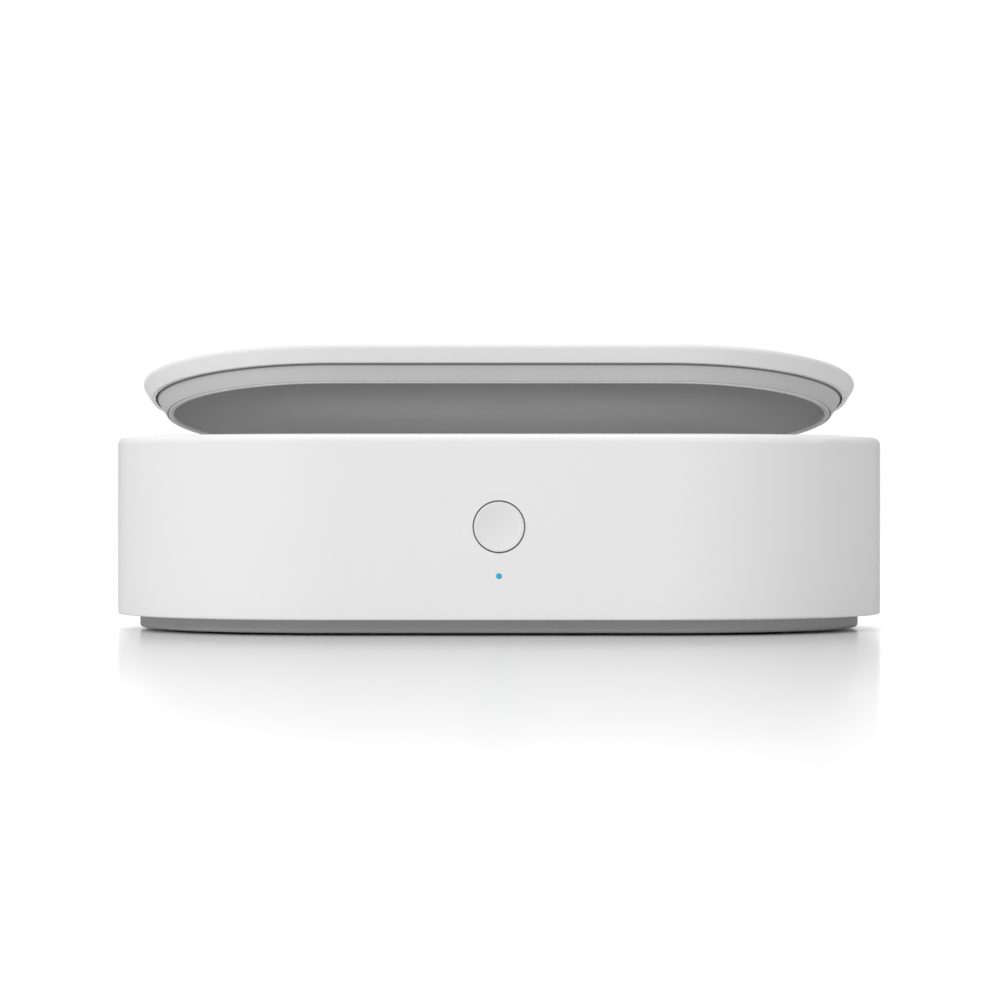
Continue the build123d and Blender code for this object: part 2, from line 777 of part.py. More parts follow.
with BuildPart() as tact_plunger:
    posts([(0, button_level)], plunger_radius, switch_front - plunger_depth, plunger_tip, front)
save(tact_plunger, "tact_plunger")

with BuildPart() as tact_switch:
    blocks([(0, button_level)], switch_size, switch_size, board_front, switch_front, front,
           switch_corner_radius)
    posts([(0, button_level)], plunger_radius + plunger_bore_gap,
          switch_front - switch_bore_depth, switch_front, front, Mode.SUBTRACT)
save(tact_switch, "tact_switch")

with BuildPart() as button_board:
    board_middle = button_level + (button_board_up - button_board_down) / 2
    blocks([(0, board_middle)], button_board_width, button_board_up + button_board_down,
           board_front - board_thickness, board_front, front)
    posts(button_board_screws_at, m2_radius + screw_pass, board_front - board_thickness, board_front,
          front, Mode.SUBTRACT)
save(button_board, "button_board")

with BuildPart() as status_led:
    blocks([(0, indicator_level)], led_width, led_depth, board_front, board_front + led_height, front)
save(status_led, "status_led")

with BuildPart() as light_pipe:
    posts([(0, indicator_level)], pipe_radius, inner_face, at(0), front)
    posts([(0, indicator_level)], pipe_body_radius, board_front + led_height + pipe_led_gap,
          inner_face, front)
save(light_pipe, "light_pipe")

with BuildPart() as hall_sensor:
    blocks([(hall_x, button_level + hall_up)], hall_width, hall_depth, board_front,
           board_front + hall_height, front)
save(hall_sensor, "hall_sensor")

front_header_x = button_board_width / 2 - front_header_margin
front_header_level = button_level - front_header_drop
with BuildPart() as button_header:
    blocks([(front_header_x, front_header_level)], header_width, header_width, board_front,
           board_front + front_header_depth, front)
save(button_header, "button_header")

# ---- main board
with BuildPart() as main_board:
    blocks([(0, main_board_y)], main_board_width, main_board_depth, board_level, board_top)
    posts(standoffs_at, m2_radius + screw_pass, board_level, board_top, mode=Mode.SUBTRACT)
save(main_board, "main_board")

with BuildPart() as mcu_chip:
    blocks([on_main_board(chip_place)], chip_size, chip_size, board_top, board_top + chip_height)
save(mcu_chip, "mcu_chip")

with BuildPart() as led_driver:
    blocks([on_main_board(driver_place)], driver_width, driver_depth, board_top, board_top + driver_height)
save(led_driver, "led_driver")

with BuildPart() as power_inductor:
    blocks([on_main_board(inductor_place)], inductor_size, inductor_size, board_top, board_top + inductor_height,
           corner=inductor_corner)
save(power_inductor, "power_inductor")

with BuildPart() as capacitors:
    posts([on_main_board(place) for place in capacitor_places], capacitor_radius, board_top, board_top + capacitor_height)
save(capacitors, "capacitors")

lamp_header_x = main_board_width / 2 - lamp_header_margin
button_header_y = main_board_y - main_board_depth / 2 + button_header_margin
lamp_headers_at = both_sides([on_main_board((lamp_header_x, y)) for y in lamp_header_y.values()])
with BuildPart() as wire_headers:
    blocks(lamp_headers_at, header_width, header_length, board_top, board_top + header_height)
    blocks([(0, button_header_y)], header_length, header_width, board_top, board_top + header_height)
save(wire_headers, "wire_headers")

usb_mouth = inner_face + usb_proud
usb_middle = board_top + usb_height / 2
usb_back = usb_mouth - usb_depth
with BuildPart() as usb_socket:
    blocks([(0, usb_middle)], usb_width, usb_height, usb_back, usb_mouth, rear, usb_corner_radius)
    blocks([(0, usb_middle)], usb_width - 2 * usb_wall, usb_height - 2 * usb_wall,
           usb_back + usb_wall, usb_mouth, rear, usb_corner_radius - usb_wall, Mode.SUBTRACT)
save(usb_socket, "usb_socket")

with BuildPart() as usb_tongue:
    blocks([(0, usb_middle)], usb_tongue_width, usb_tongue_height, usb_back + usb_wall,
           usb_back + usb_wall + usb_tongue_length, rear)
save(usb_tongue, "usb_tongue")

# ---- fasteners: each stands with the underside of its head at a seat, shank along +z of its plane
def screws(points, seat, plane, head_radius, head_height, shank_radius, length, sunk=False):
    """Equal screws at points of a plane; a sunk head is a cone above the seat, not a disc below it."""
    if sunk:
        with Locations(*[plane.offset(seat) * Pos(x, y) for x, y in points]):
            Cone(head_radius, shank_radius, head_height,
                 align=(Align.CENTER, Align.CENTER, Align.MIN))
        posts(points, shank_radius, seat + head_height, seat + length, plane)
    else:
        posts(points, head_radius, seat - head_height, seat, plane)
        posts(points, shank_radius, seat, seat + length, plane)


with BuildPart() as base_screws:
    screws(feet_at, head_seat, body, m3_head_radius, m3_head_height, m3_radius, m3_length)
save(base_screws, "base_screws")

with BuildPart() as tray_screws:
    screws(tray_screws_at, tray_flange_bottom, body, m2_head_radius, m2_head_height, m2_radius, m2_length)
save(tray_screws, "tray_screws")

with BuildPart() as bracket_screws:
    screws(bracket_screws_at, pad_bottom, body, m2_head_radius, m2_head_height, m2_radius, m2_length)
save(bracket_screws, "bracket_screws")

with BuildPart() as arm_screws:
    screws(arm_screws_at, leaf_bottom, lid, m2_head_radius, m2_sunk_head_height, m2_radius,
           m2_sunk_length, sunk=True)
save(arm_screws, "arm_screws")

with BuildPart() as frame_screws:
    screws(frame_screws_at, flange_low, lid, m2_head_radius, m2_sunk_head_height, m2_radius,
           m2_sunk_length, sunk=True)
save(frame_screws, "frame_screws")

with BuildPart() as button_board_screws:
    screws(button_board_screws_at, board_front - board_thickness, front, m2_head_radius,
           m2_head_height, m2_radius, m2_length)
save(button_board_screws, "button_board_screws")

down = Plane(origin=(0, 0, 0), x_dir=(1, 0, 0), z_dir=(0, 0, -1))
with BuildPart() as main_board_screws:
    screws([(x, -y) for x, y in standoffs_at], -board_top, down, m2_head_radius, m2_head_height,
           m2_radius, m2_length)
save(main_board_screws, "main_board_screws")

# ---- leads: straight runs joined by arcs as large as the runs allow
def lead(points, name):
    """A round lead along a route."""
    points = [Vector(*point) for point in points]
    radii = []
    for before, corner, after in zip(points, points[1:], points[2:]):
        turn = radians((corner - before).get_angle(after - corner))
        shorter = min((corner - before).length, (after - corner).length)
        radii.append(0.45 * shorter / tan(turn / 2))
    with BuildPart() as strand:
        with BuildLine() as route:
            FilletPolyline(*points, radius=radii)
        with BuildSketch(Plane(origin=points[0], z_dir=points[1] - points[0])):
            Circle(lead_radius)
        sweep()
    save(strand, name)
    print(name, [round(radius, 1) for radius in radii], round(route.wire().length, 1))


header_middle = board_top + header_height / 2
header_side = lamp_header_x + header_width / 2
floor_board_back = tray_underside - lamp_board_thickness
floor_lead_x = half_straight + floor_lamp_offset - lead_inset
rear_board_back = at(tray_outer) + lamp_board_thickness
rear_gap_y = rear_board_back + lead_off_wall
rear_lamp_level = tray_floor + rear_lamp_height
rear_lead_x = rear_lamp_spread + lamp_board_length / 2 - lead_edge
rear_lead_out = header_side + lead_exit + lead_step / 2

for side, sign in {"left": -1, "right": 1}.items():
    start = on_main_board((0, lamp_header_y["floor"]))[1]
    turned = start - lead_step
    lead(
        [
            (sign * header_side, start, header_middle),
            (sign * (header_side + lead_exit), start, header_middle),
            (sign * (header_side + lead_exit + lead_step), turned, header_middle - lead_sag),
            (sign * (floor_lead_x + lead_sway), (turned + floor_lead_y) / 2, header_middle),
            (sign * floor_lead_x, floor_lead_y, header_middle + lead_sag),
            (sign * floor_lead_x, floor_lead_y, floor_board_back),
        ],
        f"uv_lead_floor_{side}",
    )
    start = on_main_board((0, lamp_header_y["rear"]))[1]
    lead(
        [
            (sign * header_side, start, header_middle),
            (sign * (header_side + lead_exit), start, header_middle),
            (sign * rear_lead_out, start + lead_step, header_middle + lead_sag),
            (sign * rear_lead_out, rear_gap_y - lead_step / 2, header_middle + 4 * lead_sag),
            (sign * (rear_lead_out - 2 * lead_sway), rear_gap_y, (header_middle + rear_lamp_level) / 2),
            (sign * rear_lead_x, rear_gap_y, rear_lamp_level),
            (sign * rear_lead_x, rear_board_back, rear_lamp_level),
        ],
        f"uv_lead_rear_{side}",
    )

header_front = button_header_y - header_width / 2
front_header_y = -(board_front + front_header_depth / 2)
front_header_bottom = front_header_level - header_width / 2
under_board = button_level - button_board_down - lead_under_board
lead(
    [(0, header_front, header_middle)]
    + [
        (
            across * front_header_x,
            header_front + along * (front_header_y - header_front),
            header_middle + down_share * (under_board - header_middle),
        )
        for along, across, down_share in button_lead_route
    ]
    + [
        (front_header_x, front_header_y, under_board),
        (front_header_x, front_header_y, front_header_bottom),
    ],
    "button_lead",
)
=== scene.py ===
import json
import math

import bmesh
import bpy
from mathutils import Matrix, Vector


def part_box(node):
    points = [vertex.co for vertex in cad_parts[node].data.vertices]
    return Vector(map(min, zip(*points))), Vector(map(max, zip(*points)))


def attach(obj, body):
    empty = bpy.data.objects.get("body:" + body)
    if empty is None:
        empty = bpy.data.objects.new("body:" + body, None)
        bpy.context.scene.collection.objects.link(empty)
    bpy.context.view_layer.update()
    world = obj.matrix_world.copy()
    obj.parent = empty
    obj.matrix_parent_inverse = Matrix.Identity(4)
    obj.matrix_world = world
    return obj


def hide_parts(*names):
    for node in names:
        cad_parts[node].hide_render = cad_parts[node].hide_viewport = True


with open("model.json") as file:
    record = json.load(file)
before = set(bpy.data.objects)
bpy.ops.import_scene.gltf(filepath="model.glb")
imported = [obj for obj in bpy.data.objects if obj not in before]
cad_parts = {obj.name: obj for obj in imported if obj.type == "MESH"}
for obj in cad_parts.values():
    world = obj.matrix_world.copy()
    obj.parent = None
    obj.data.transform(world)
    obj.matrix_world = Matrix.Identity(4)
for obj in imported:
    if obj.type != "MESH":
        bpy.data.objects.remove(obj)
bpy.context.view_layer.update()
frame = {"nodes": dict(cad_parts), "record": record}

mm = 0.001
nodes = frame["nodes"]
print("frame loaded:", len(nodes), "nodes")


# a socket that takes Python operators, so shader maths reads as an expression
class Value:
    def __init__(self, tree, socket):
        self.tree = tree
        self.socket = socket

    def maths(self, operation, a, b):
        return self.tree.node("ShaderNodeMath", {"operation": operation}, {0: a, 1: b})

    def __add__(self, other):
        return self.maths("ADD", self, other)

    def __radd__(self, other):
        return self.maths("ADD", other, self)

    def __sub__(self, other):
        return self.maths("SUBTRACT", self, other)

    def __rsub__(self, other):
        return self.maths("SUBTRACT", other, self)

    def __mul__(self, other):
        return self.maths("MULTIPLY", self, other)

    def __rmul__(self, other):
        return self.maths("MULTIPLY", other, self)

    def __truediv__(self, other):
        return self.maths("DIVIDE", self, other)

    def __rtruediv__(self, other):
        return self.maths("DIVIDE", other, self)

    def top(self, other):
        return self.maths("MAXIMUM", self, other)

    def floor(self):
        return self.maths("FLOOR", self, 0.0)

    def fraction(self):
        return self.maths("FRACT", self, 0.0)

    def under(self, other):
        return self.maths("LESS_THAN", self, other)


# a node tree: node() makes any node, sets its settings first, then its sockets
class Tree:
    def __init__(self, owner):
        owner.use_nodes = True
        self.links = owner.node_tree.links
        self.nodes = owner.node_tree.nodes
        self.nodes.clear()

    def node(self, kind, settings=None, inputs=None, output=0):
        made = self.nodes.new(kind)
        for name, setting in (settings or {}).items():
            setattr(made, name, setting)
        for name, given in (inputs or {}).items():
            socket = made.inputs[name]
            if isinstance(given, Value):
                self.links.new(given.socket, socket)
            else:
                socket.default_value = given
        return Value(self, made.outputs[output]) if made.outputs else None

    def objectPlace(self):
        return self.node("ShaderNodeTexCoord", output="Object")

    def part(self, axis, place):
        return self.node("ShaderNodeSeparateXYZ", inputs={"Vector": place}, output=axis)

    def noise(self, place, scale, detail=2.0, roughness=0.5):
        inputs = {"Vector": place, "Scale": scale, "Detail": detail, "Roughness": roughness}
        return self.node("ShaderNodeTexNoise", inputs=inputs)

    # inputs 6 and 7 and output 2 of the Mix node are its colours
    def mixColour(self, share, a, b):
        settings = {"data_type": "RGBA", "clamp_factor": True}
        return self.node("ShaderNodeMix", settings, {"Factor": share, 6: a, 7: b}, output=2)

    def bump(self, height, strength, distance):
        inputs = {"Height": height, "Strength": strength, "Distance": distance}
        return self.node("ShaderNodeBump", inputs=inputs)


def shade(colour, factor):
    return tuple(min(1.0, c * factor) for c in colour) + (1,)


# a moulded or cast finish: grain in the surface, slow colour drift, uneven gloss, with sizes in mm
# mark makes a mask from a place, where the surface takes markColour instead: copper tracks on a board, or
# painted shade in the lid's groove
def finish(name, colour, roughness, grain=0.12, grainSize=0.25, grainDepth=0.004, drift=0.03,
           driftSize=30, unevenness=0.06, mark=None, markColour=(0, 0, 0, 1), **constants):
    material = bpy.data.materials.new(name)
    tree = Tree(material)
    place = tree.objectPlace()
    slow = tree.noise(place, 1 / (driftSize * mm), detail=3.0)
    fine = tree.noise(place, 1 / (grainSize * mm), detail=2.0, roughness=0.6)
    drifted = tree.mixColour(slow, shade(colour, 1 - drift), shade(colour, 1 + drift))
    if mark:
        drifted = tree.mixColour(mark(tree, place), drifted, markColour)
    inputs = {
        "Base Color": drifted,
        "Roughness": (slow - 0.5) * unevenness + (fine - 0.5) * unevenness + roughness,
        "Normal": tree.bump(fine, grain, grainDepth * mm),
    }
    inputs.update(constants)
    shader = tree.node("ShaderNodeBsdfPrincipled", inputs=inputs)
    tree.node("ShaderNodeOutputMaterial", inputs={"Surface": shader})
    return material


# painted shade: the frame's wall in the groove between cover and frame is coloured dark, down to just below
# the rim's plane
groove = {"rimLevel": 54.8, "below": 0.45, "blend": 0.15, "colour": (0.19, 0.19, 0.19, 1)}
hinge = next(joint for joint in frame["record"]["behaviour"]["joints"] if joint["name"] == "lid_hinge")


# painted shade: a mask that is 1 from just below the rim's plane upwards, measured along the opened lid's
# tilt, so the frame's wall in the groove takes the dark colour
def paintedGrooveShadeMask(tree, place):
    opened = math.radians(-hinge["range_deg"][0])
    y = tree.part("Y", place)
    z = tree.part("Z", place)
    pivot = hinge["pos_m"]
    level = (z - pivot[2]) * math.cos(opened) + (y - pivot[1]) * math.sin(opened) + pivot[2]
    return (level - (groove["rimLevel"] - groove["below"]) * mm) / (groove["blend"] * mm)


# copper tracks that show through a board's green lacquer: each block of a grid holds lines along X,
# lines across it, or none
tracks = {"pitch": 0.7, "width": 0.22, "blockLength": 9.1, "blockWidth": 4.9, "along": 0.5, "across": 0.2,
          "offset": 300, "colour": (0.024, 0.18, 0.072, 1)}


def trackMask(tree, place):
    x = tree.part("X", place) / mm + tracks["offset"]
    y = tree.part("Y", place) / mm + tracks["offset"]
    z = tree.part("Z", place) / mm
    side = y + z                                    # one of them stands still on each board
    column = (x / tracks["blockLength"]).floor()
    row = (side / tracks["blockWidth"]).floor()
    block = tree.node("ShaderNodeCombineXYZ", inputs={"X": column, "Y": row, "Z": 0.0})
    draw = tree.node("ShaderNodeTexWhiteNoise", {"noise_dimensions": "3D"}, {"Vector": block})
    share = tracks["width"] / tracks["pitch"]
    along = (side / tracks["pitch"]).fraction().under(share) * draw.under(tracks["along"])
    across = (x / tracks["pitch"]).fraction().under(share) * (1.0 - draw).under(tracks["across"])
    return along + across


# the finishes, each with what sets it apart from a plain moulding
finishes = {
    "whiteShell": {"colour": (0.83, 0.83, 0.832), "roughness": 0.42, "drift": 0.008,
                   "Specular IOR Level": 0.25},
    # the frame: a slightly greyer white plastic, darkened further as painted shade from the cover's
    # overhanging rim, with painted shade in the groove as its mark
    "whiteFramePaintedShade": {"colour": (0.58, 0.58, 0.582), "roughness": 0.45, "drift": 0.008, "mark": paintedGrooveShadeMask,
                   "markColour": groove["colour"]},
    "whiteCover": {"colour": (0.80, 0.80, 0.802), "roughness": 0.42, "drift": 0.008},
    "whiteButton": {"colour": (0.79, 0.79, 0.793), "roughness": 0.36, "drift": 0.008},
    "greyPlinth": {"colour": (0.54, 0.54, 0.54), "roughness": 0.6, "grain": 0.25, "grainSize": 0.4},
    "greyLiner": {"colour": (0.50, 0.50, 0.50), "roughness": 0.5, "drift": 0.02},
    "silverTray": {"colour": (0.78, 0.785, 0.79), "roughness": 0.30, "grain": 0.2, "grainSize": 0.6,
                   "drift": 0.02, "Metallic": 1.0},
    "softSilicone": {"colour": (0.70, 0.72, 0.74), "roughness": 0.55, "grain": 0.2},
    "sealSilicone": {"colour": (0.95, 0.95, 0.95), "roughness": 0.3, "grain": 0.1, "drift": 0.01,
                     "Specular IOR Level": 0.8},
    "footRubber": {"colour": (0.02, 0.02, 0.021), "roughness": 0.75, "grain": 0.4, "grainSize": 0.5},
    "hingeMetal": {"colour": (0.44, 0.445, 0.45), "roughness": 0.48, "grain": 0.3, "grainSize": 0.4,
                   "Metallic": 1.0},
    "brightSteel": {"colour": (0.60, 0.60, 0.61), "roughness": 0.25, "grainSize": 0.15, "Metallic": 1.0},
    "bronze": {"colour": (0.50, 0.33, 0.14), "roughness": 0.4, "grain": 0.4, "Metallic": 1.0},
    "lampBoard": {"colour": (0.72, 0.73, 0.72), "roughness": 0.45, "grain": 0.15},
    "greenBoard": {"colour": (0.012, 0.13, 0.05), "roughness": 0.35, "grain": 0.2, "grainSize": 1.2,
                   "drift": 0.2, "driftSize": 4, "mark": trackMask, "markColour": tracks["colour"]},
    "blackResin": {"colour": (0.018, 0.018, 0.019), "roughness": 0.5, "grain": 0.3, "grainSize": 0.2},
    "ivoryNylon": {"colour": (0.66, 0.61, 0.48), "roughness": 0.5},
    "canAluminium": {"colour": (0.60, 0.61, 0.63), "roughness": 0.3, "Metallic": 1.0},
    "leadJacket": {"colour": (0.015, 0.015, 0.017), "roughness": 0.5},
    "quartz": {"colour": (0.92, 0.95, 1.0), "roughness": 0.04, "grain": 0.0, "Transmission Weight": 1.0,
               "IOR": 1.458},
    "ceramic": {"colour": (0.74, 0.72, 0.66), "roughness": 0.5, "grain": 0.3, "grainSize": 0.08,
                "drift": 0.06, "driftSize": 1},
    "goldPlate": {"colour": (0.80, 0.58, 0.24), "roughness": 0.28, "grain": 0.2, "grainSize": 0.1,
                  "Metallic": 1.0},
    "lampChip": {"colour": (0.16, 0.13, 0.26), "roughness": 0.22, "grain": 0.1, "grainSize": 0.05,
                 "drift": 0.2, "driftSize": 0.5},
    "solder": {"colour": (0.66, 0.66, 0.67), "roughness": 0.3, "grain": 0.5, "grainSize": 0.12,
               "grainDepth": 0.01, "Metallic": 1.0},
    "copper": {"colour": (0.60, 0.28, 0.14), "roughness": 0.35, "grain": 0.3, "grainSize": 0.1,
               "Metallic": 1.0},
    "cyanPipe": {"colour": (0.012, 0.22, 0.34), "roughness": 0.25, "grain": 0.05,
                 "Emission Color": (0.004, 0.42, 0.60, 1), "Emission Strength": 0.45},
}
look = {name: finish(name, **values) for name, values in finishes.items()}


def paint(finishName, *names):
    for name in names:
        mesh = nodes[name].data
        mesh.materials.clear()
        mesh.materials.append(look[finishName])


paint("whiteShell", "outer_shell")
paint("whiteCover", "lid_cover")
paint("whiteFramePaintedShade", "lid_frame")
paint("greyPlinth", "base_plate")
paint("greyLiner", "lid_liner")
paint("silverTray", "chamber_tray")
paint("softSilicone", "phone_rest_left", "phone_rest_right")
paint("sealSilicone", "lid_seal")
paint("hingeMetal", "hinge_bracket_left", "hinge_bracket_right", "hinge_arm_left", "hinge_arm_right")
paint("brightSteel", "hinge_pin_left", "hinge_pin_right", "usb_socket", "lid_magnet")
paint("bronze", "hinge_sleeve_left", "hinge_sleeve_right")
paint("greenBoard", "main_board", "button_board")
paint("blackResin", "tact_plunger")
paint("leadJacket", "button_lead", *[name for name in nodes if name.startswith("uv_lead_")])
paint("cyanPipe", "light_pipe")
print("materials done")

# help for new pieces, which are built in millimetres
tiny = 0.001             # heights nearer than this are level
sharpAngle = 32          # degrees between two faces from which their edge is drawn sharp


# the faces that a step adds to a mesh
def addedBy(mesh, step):
    before = set(mesh.faces)
    step()
    return [face for face in mesh.faces if face not in before]


def cornersOf(faces):
    return list({corner for face in faces for corner in face.verts})


def wear(faces, finishIndex):
    for face in faces:
        face.material_index = finishIndex


# a block with its edges rounded, or only its upright ones
def addBlock(mesh, centre, size, edge=0.0, segments=2, finishIndex=0, uprightOnly=False):
    def build():
        corners = bmesh.ops.create_cube(mesh, size=1.0)["verts"]
        bmesh.ops.scale(mesh, vec=size, verts=corners)
        bmesh.ops.translate(mesh, vec=centre, verts=corners)
        edges = {line for corner in corners for line in corner.link_edges}
        if uprightOnly:
            edges = {line for line in edges if abs(line.verts[0].co.z - line.verts[1].co.z) > size[2] / 2}
        if edge > 0:
            bmesh.ops.bevel(mesh, geom=list(edges), offset=edge, segments=segments, profile=0.5,
                            affect="EDGES", material=-1)

    faces = addedBy(mesh, build)
    wear(faces, finishIndex)
    return faces


# a round solid: its half section, points of (radius, height), spun about an upright axis
def addRound(mesh, centre, section, steps=32, finishIndex=0):
    def build():
        points = [mesh.verts.new((radius, 0, height)) for radius, height in section]
        lines = [mesh.edges.new(pair) for pair in zip(points, points[1:])]
        bmesh.ops.spin(mesh, geom=points + lines, cent=(0, 0, 0), axis=(0, 0, 1), angle=math.tau,
                       steps=steps, use_merge=True)

    faces = addedBy(mesh, build)
    corners = cornersOf(faces)
    bmesh.ops.translate(mesh, vec=centre, verts=corners)
    wear(faces, finishIndex)
    bmesh.ops.remove_doubles(mesh, verts=corners, dist=tiny / 10)


# moves the last ring of edges out to a new radius and height, or to a square of that half width
def nextRing(mesh, edges, radius, height, square=False):
    made = bmesh.ops.extrude_edge_only(mesh, edges=edges)["geom"]
    for corner in (item for item in made if isinstance(item, bmesh.types.BMVert)):
        away = Vector((corner.co.x, corner.co.y, 0)).normalized()
        if square:
            away /= max(abs(away.x), abs(away.y))
        corner.co = (away.x * radius, away.y * radius, height)
    return [item for item in made if isinstance(item, bmesh.types.BMEdge)]


def topFace(faces):
    return max(faces, key=lambda face: (face.calc_center_median().z, face.calc_area()))


# writes a finished mesh to a piece that rides on a body and stands for CAD nodes
def makePiece(name, mesh, place, finishNames, body, slotName, *replaced):
    bmesh.ops.transform(mesh, matrix=place @ Matrix.Scale(mm, 4), verts=mesh.verts)
    bmesh.ops.recalc_face_normals(mesh, faces=mesh.faces)
    data = bpy.data.meshes.new(name)
    mesh.to_mesh(data)
    mesh.free()
    for finishName in finishNames:
        data.materials.append(look[finishName])
    data.shade_smooth()
    data.set_sharp_from_angle(angle=math.radians(sharpAngle))
    piece = bpy.data.objects.new(name, data)
    bpy.context.scene.collection.objects.link(piece)
    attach(piece, body)
    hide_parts(*replaced)


# a node's lowest and highest corner in millimetres
def boxOf(node):
    return (Vector(corner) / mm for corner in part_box(node))


# the middle of a node, in metres as every place is
def middle(node):
    low, high = (Vector(corner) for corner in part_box(node))
    return (low + high) / 2


# the middle of a node's underside
def seat(node):
    low, high = (Vector(corner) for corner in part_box(node))
    return Matrix.Translation(((low.x + high.x) / 2, (low.y + high.y) / 2, low.z))


# the same for a part on the upright front board, whose parts grow towards -Y
def frontSeat(node):
    low, high = (Vector(corner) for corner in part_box(node))
    spot = Matrix.Translation(((low.x + high.x) / 2, high.y, (low.z + high.z) / 2))
    return spot @ Matrix.Rotation(math.radians(90), 4, "X")


# lamps: windows, emitters and their boards, with heights from the face that looks into the chamber
window = {"length": 27.96, "width": 11.96, "thickness": 1.15, "corner": 0.98, "chamfer": 0.15}
emitter = {"size": 3.5, "top": -1.3, "height": 0.7, "spread": 7.0, "edge": 0.08, "rim": 0.22, "ring": 0.2,
           "cavity": 0.4, "slope": 0.12, "chip": 1.2, "chipHeight": 0.18, "chipEdge": 0.03,
           "chipMargin": 0.15, "finger": 0.1, "cover": 0.1, "coverEdge": 0.02}
board = {"length": 34.0, "width": 15.0, "thickness": 1.6, "corner": 1.0, "cornerSteps": 4,
         "padWidth": 0.7, "padLength": 2.9, "solder": 0.07, "padEdge": 0.03}
resistor = {"length": 1.6, "width": 0.8, "height": 0.45, "body": 0.992, "bodyEdge": 0.04, "end": 0.32,
            "endEdge": 0.05}
via = {"radius": 0.35, "hole": 0.175, "holeFloor": 0.01, "rim": 0.1925, "proud": 0.035, "below": 0.01,
       "x": 3.2, "y": 2.56, "steps": 20}


def addEmitter(mesh, x):
    size, chip, chipHeight = emitter["size"], emitter["chip"], emitter["chipHeight"]
    bottom = emitter["top"] - emitter["height"]
    bodyHeight = emitter["height"] - emitter["cover"]
    body = addBlock(mesh, (x, 0, bottom + bodyHeight / 2), (size, size, bodyHeight), emitter["edge"])
    floorFace = topFace(body)
    bmesh.ops.inset_region(mesh, faces=[floorFace], thickness=emitter["rim"])
    ring = bmesh.ops.inset_region(mesh, faces=[floorFace], thickness=emitter["ring"])["faces"]
    wear(ring, 1)
    bmesh.ops.inset_region(mesh, faces=[floorFace], thickness=emitter["slope"], depth=-emitter["cavity"])
    chipBottom = bottom + bodyHeight - emitter["cavity"]
    chipFaces = addBlock(mesh, (x, 0, chipBottom + chipHeight / 2), (chip, chip, chipHeight),
                         emitter["chipEdge"], finishIndex=2)
    contact = topFace(chipFaces)
    bmesh.ops.inset_region(mesh, faces=[contact], thickness=emitter["chipMargin"])
    fingers = bmesh.ops.inset_region(mesh, faces=[contact], thickness=emitter["finger"])["faces"]
    wear(fingers, 1)
    coverSize = size - 2 * emitter["rim"]
    addBlock(mesh, (x, 0, emitter["top"] - emitter["cover"] / 2), (coverSize, coverSize, emitter["cover"]),
             emitter["coverEdge"], finishIndex=3)


def addLampBoard(mesh):
    top = emitter["top"] - emitter["height"]
    size = (board["length"], board["width"], board["thickness"])
    addBlock(mesh, (0, 0, top - board["thickness"] / 2), size, board["corner"], board["cornerSteps"],
             uprightOnly=True)
    padSize = (board["padWidth"], board["padLength"], board["solder"])
    for x in (-emitter["spread"], emitter["spread"]):
        for side in (-1, 1):
            padX = x + side * (emitter["size"] + board["padWidth"]) / 2
            addBlock(mesh, (padX, 0, top + board["solder"] / 2), padSize, board["padEdge"], finishIndex=1)
    width, height = resistor["width"], resistor["height"]
    addBlock(mesh, (0, 0, top + height / 2), (resistor["body"], width, height), resistor["bodyEdge"],
             finishIndex=2)
    for side in (-1, 1):
        endX = side * (resistor["length"] - resistor["end"]) / 2
        addBlock(mesh, (endX, 0, top + height / 2), (resistor["end"], width, height), resistor["endEdge"],
                 finishIndex=1)
        for x in (-via["x"], via["x"]):
            section = [(0, via["holeFloor"]), (via["hole"], via["holeFloor"]), (via["rim"], via["proud"]),
                       (via["radius"], via["proud"]), (via["radius"], -via["below"])]
            addRound(mesh, (x, side * via["y"], top), section, via["steps"], 1)


def addWindow(mesh):
    size = (window["length"], window["width"], window["thickness"])
    addBlock(mesh, (0, 0, -window["thickness"] / 2), size, window["corner"], board["cornerSteps"],
             uprightOnly=True)
    rims = [line for line in mesh.edges if abs(line.verts[0].co.z - line.verts[1].co.z) < tiny]
    bmesh.ops.bevel(mesh, geom=rims, offset=window["chamfer"], segments=1, profile=0.5, affect="EDGES",
                    material=-1)


for name in ("floor_left", "floor_right", "rear_left", "rear_right"):
    low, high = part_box("uv_window_" + name)
    face = middle("uv_window_" + name)
    turn = Matrix.Identity(4)
    if name.startswith("rear"):
        face.y = low[1]
        turn = Matrix.Rotation(math.radians(90), 4, "X")
    else:
        face.z = high[2]
    place = Matrix.Translation(face) @ turn
    mesh = bmesh.new()
    addWindow(mesh)
    makePiece("lampWindow_" + name, mesh, place, ["quartz"], "base", "quartz", "uv_window_" + name)
    mesh = bmesh.new()
    addLampBoard(mesh)
    makePiece("lampBoard_" + name, mesh, place, ["lampBoard", "solder", "blackResin"], "base", "lamp_board",
              "uv_board_" + name)
    mesh = bmesh.new()
    for x in (-emitter["spread"], emitter["spread"]):
        addEmitter(mesh, x)
    makePiece("lampEmitters_" + name, mesh, place, ["ceramic", "goldPlate", "lampChip", "quartz"], "base",
              "emitter", "uv_leds_" + name)
print("lamps done")

# power inlet: tongue with its contact strips
inlet = {"pins": 12, "pitch": 0.5, "pinWidth": 0.26, "pinLength": 3.3, "pinProud": 0.03, "pinEdge": 0.01,
         "pinStart": 0.25, "edge": 0.12, "edgeSteps": 3}

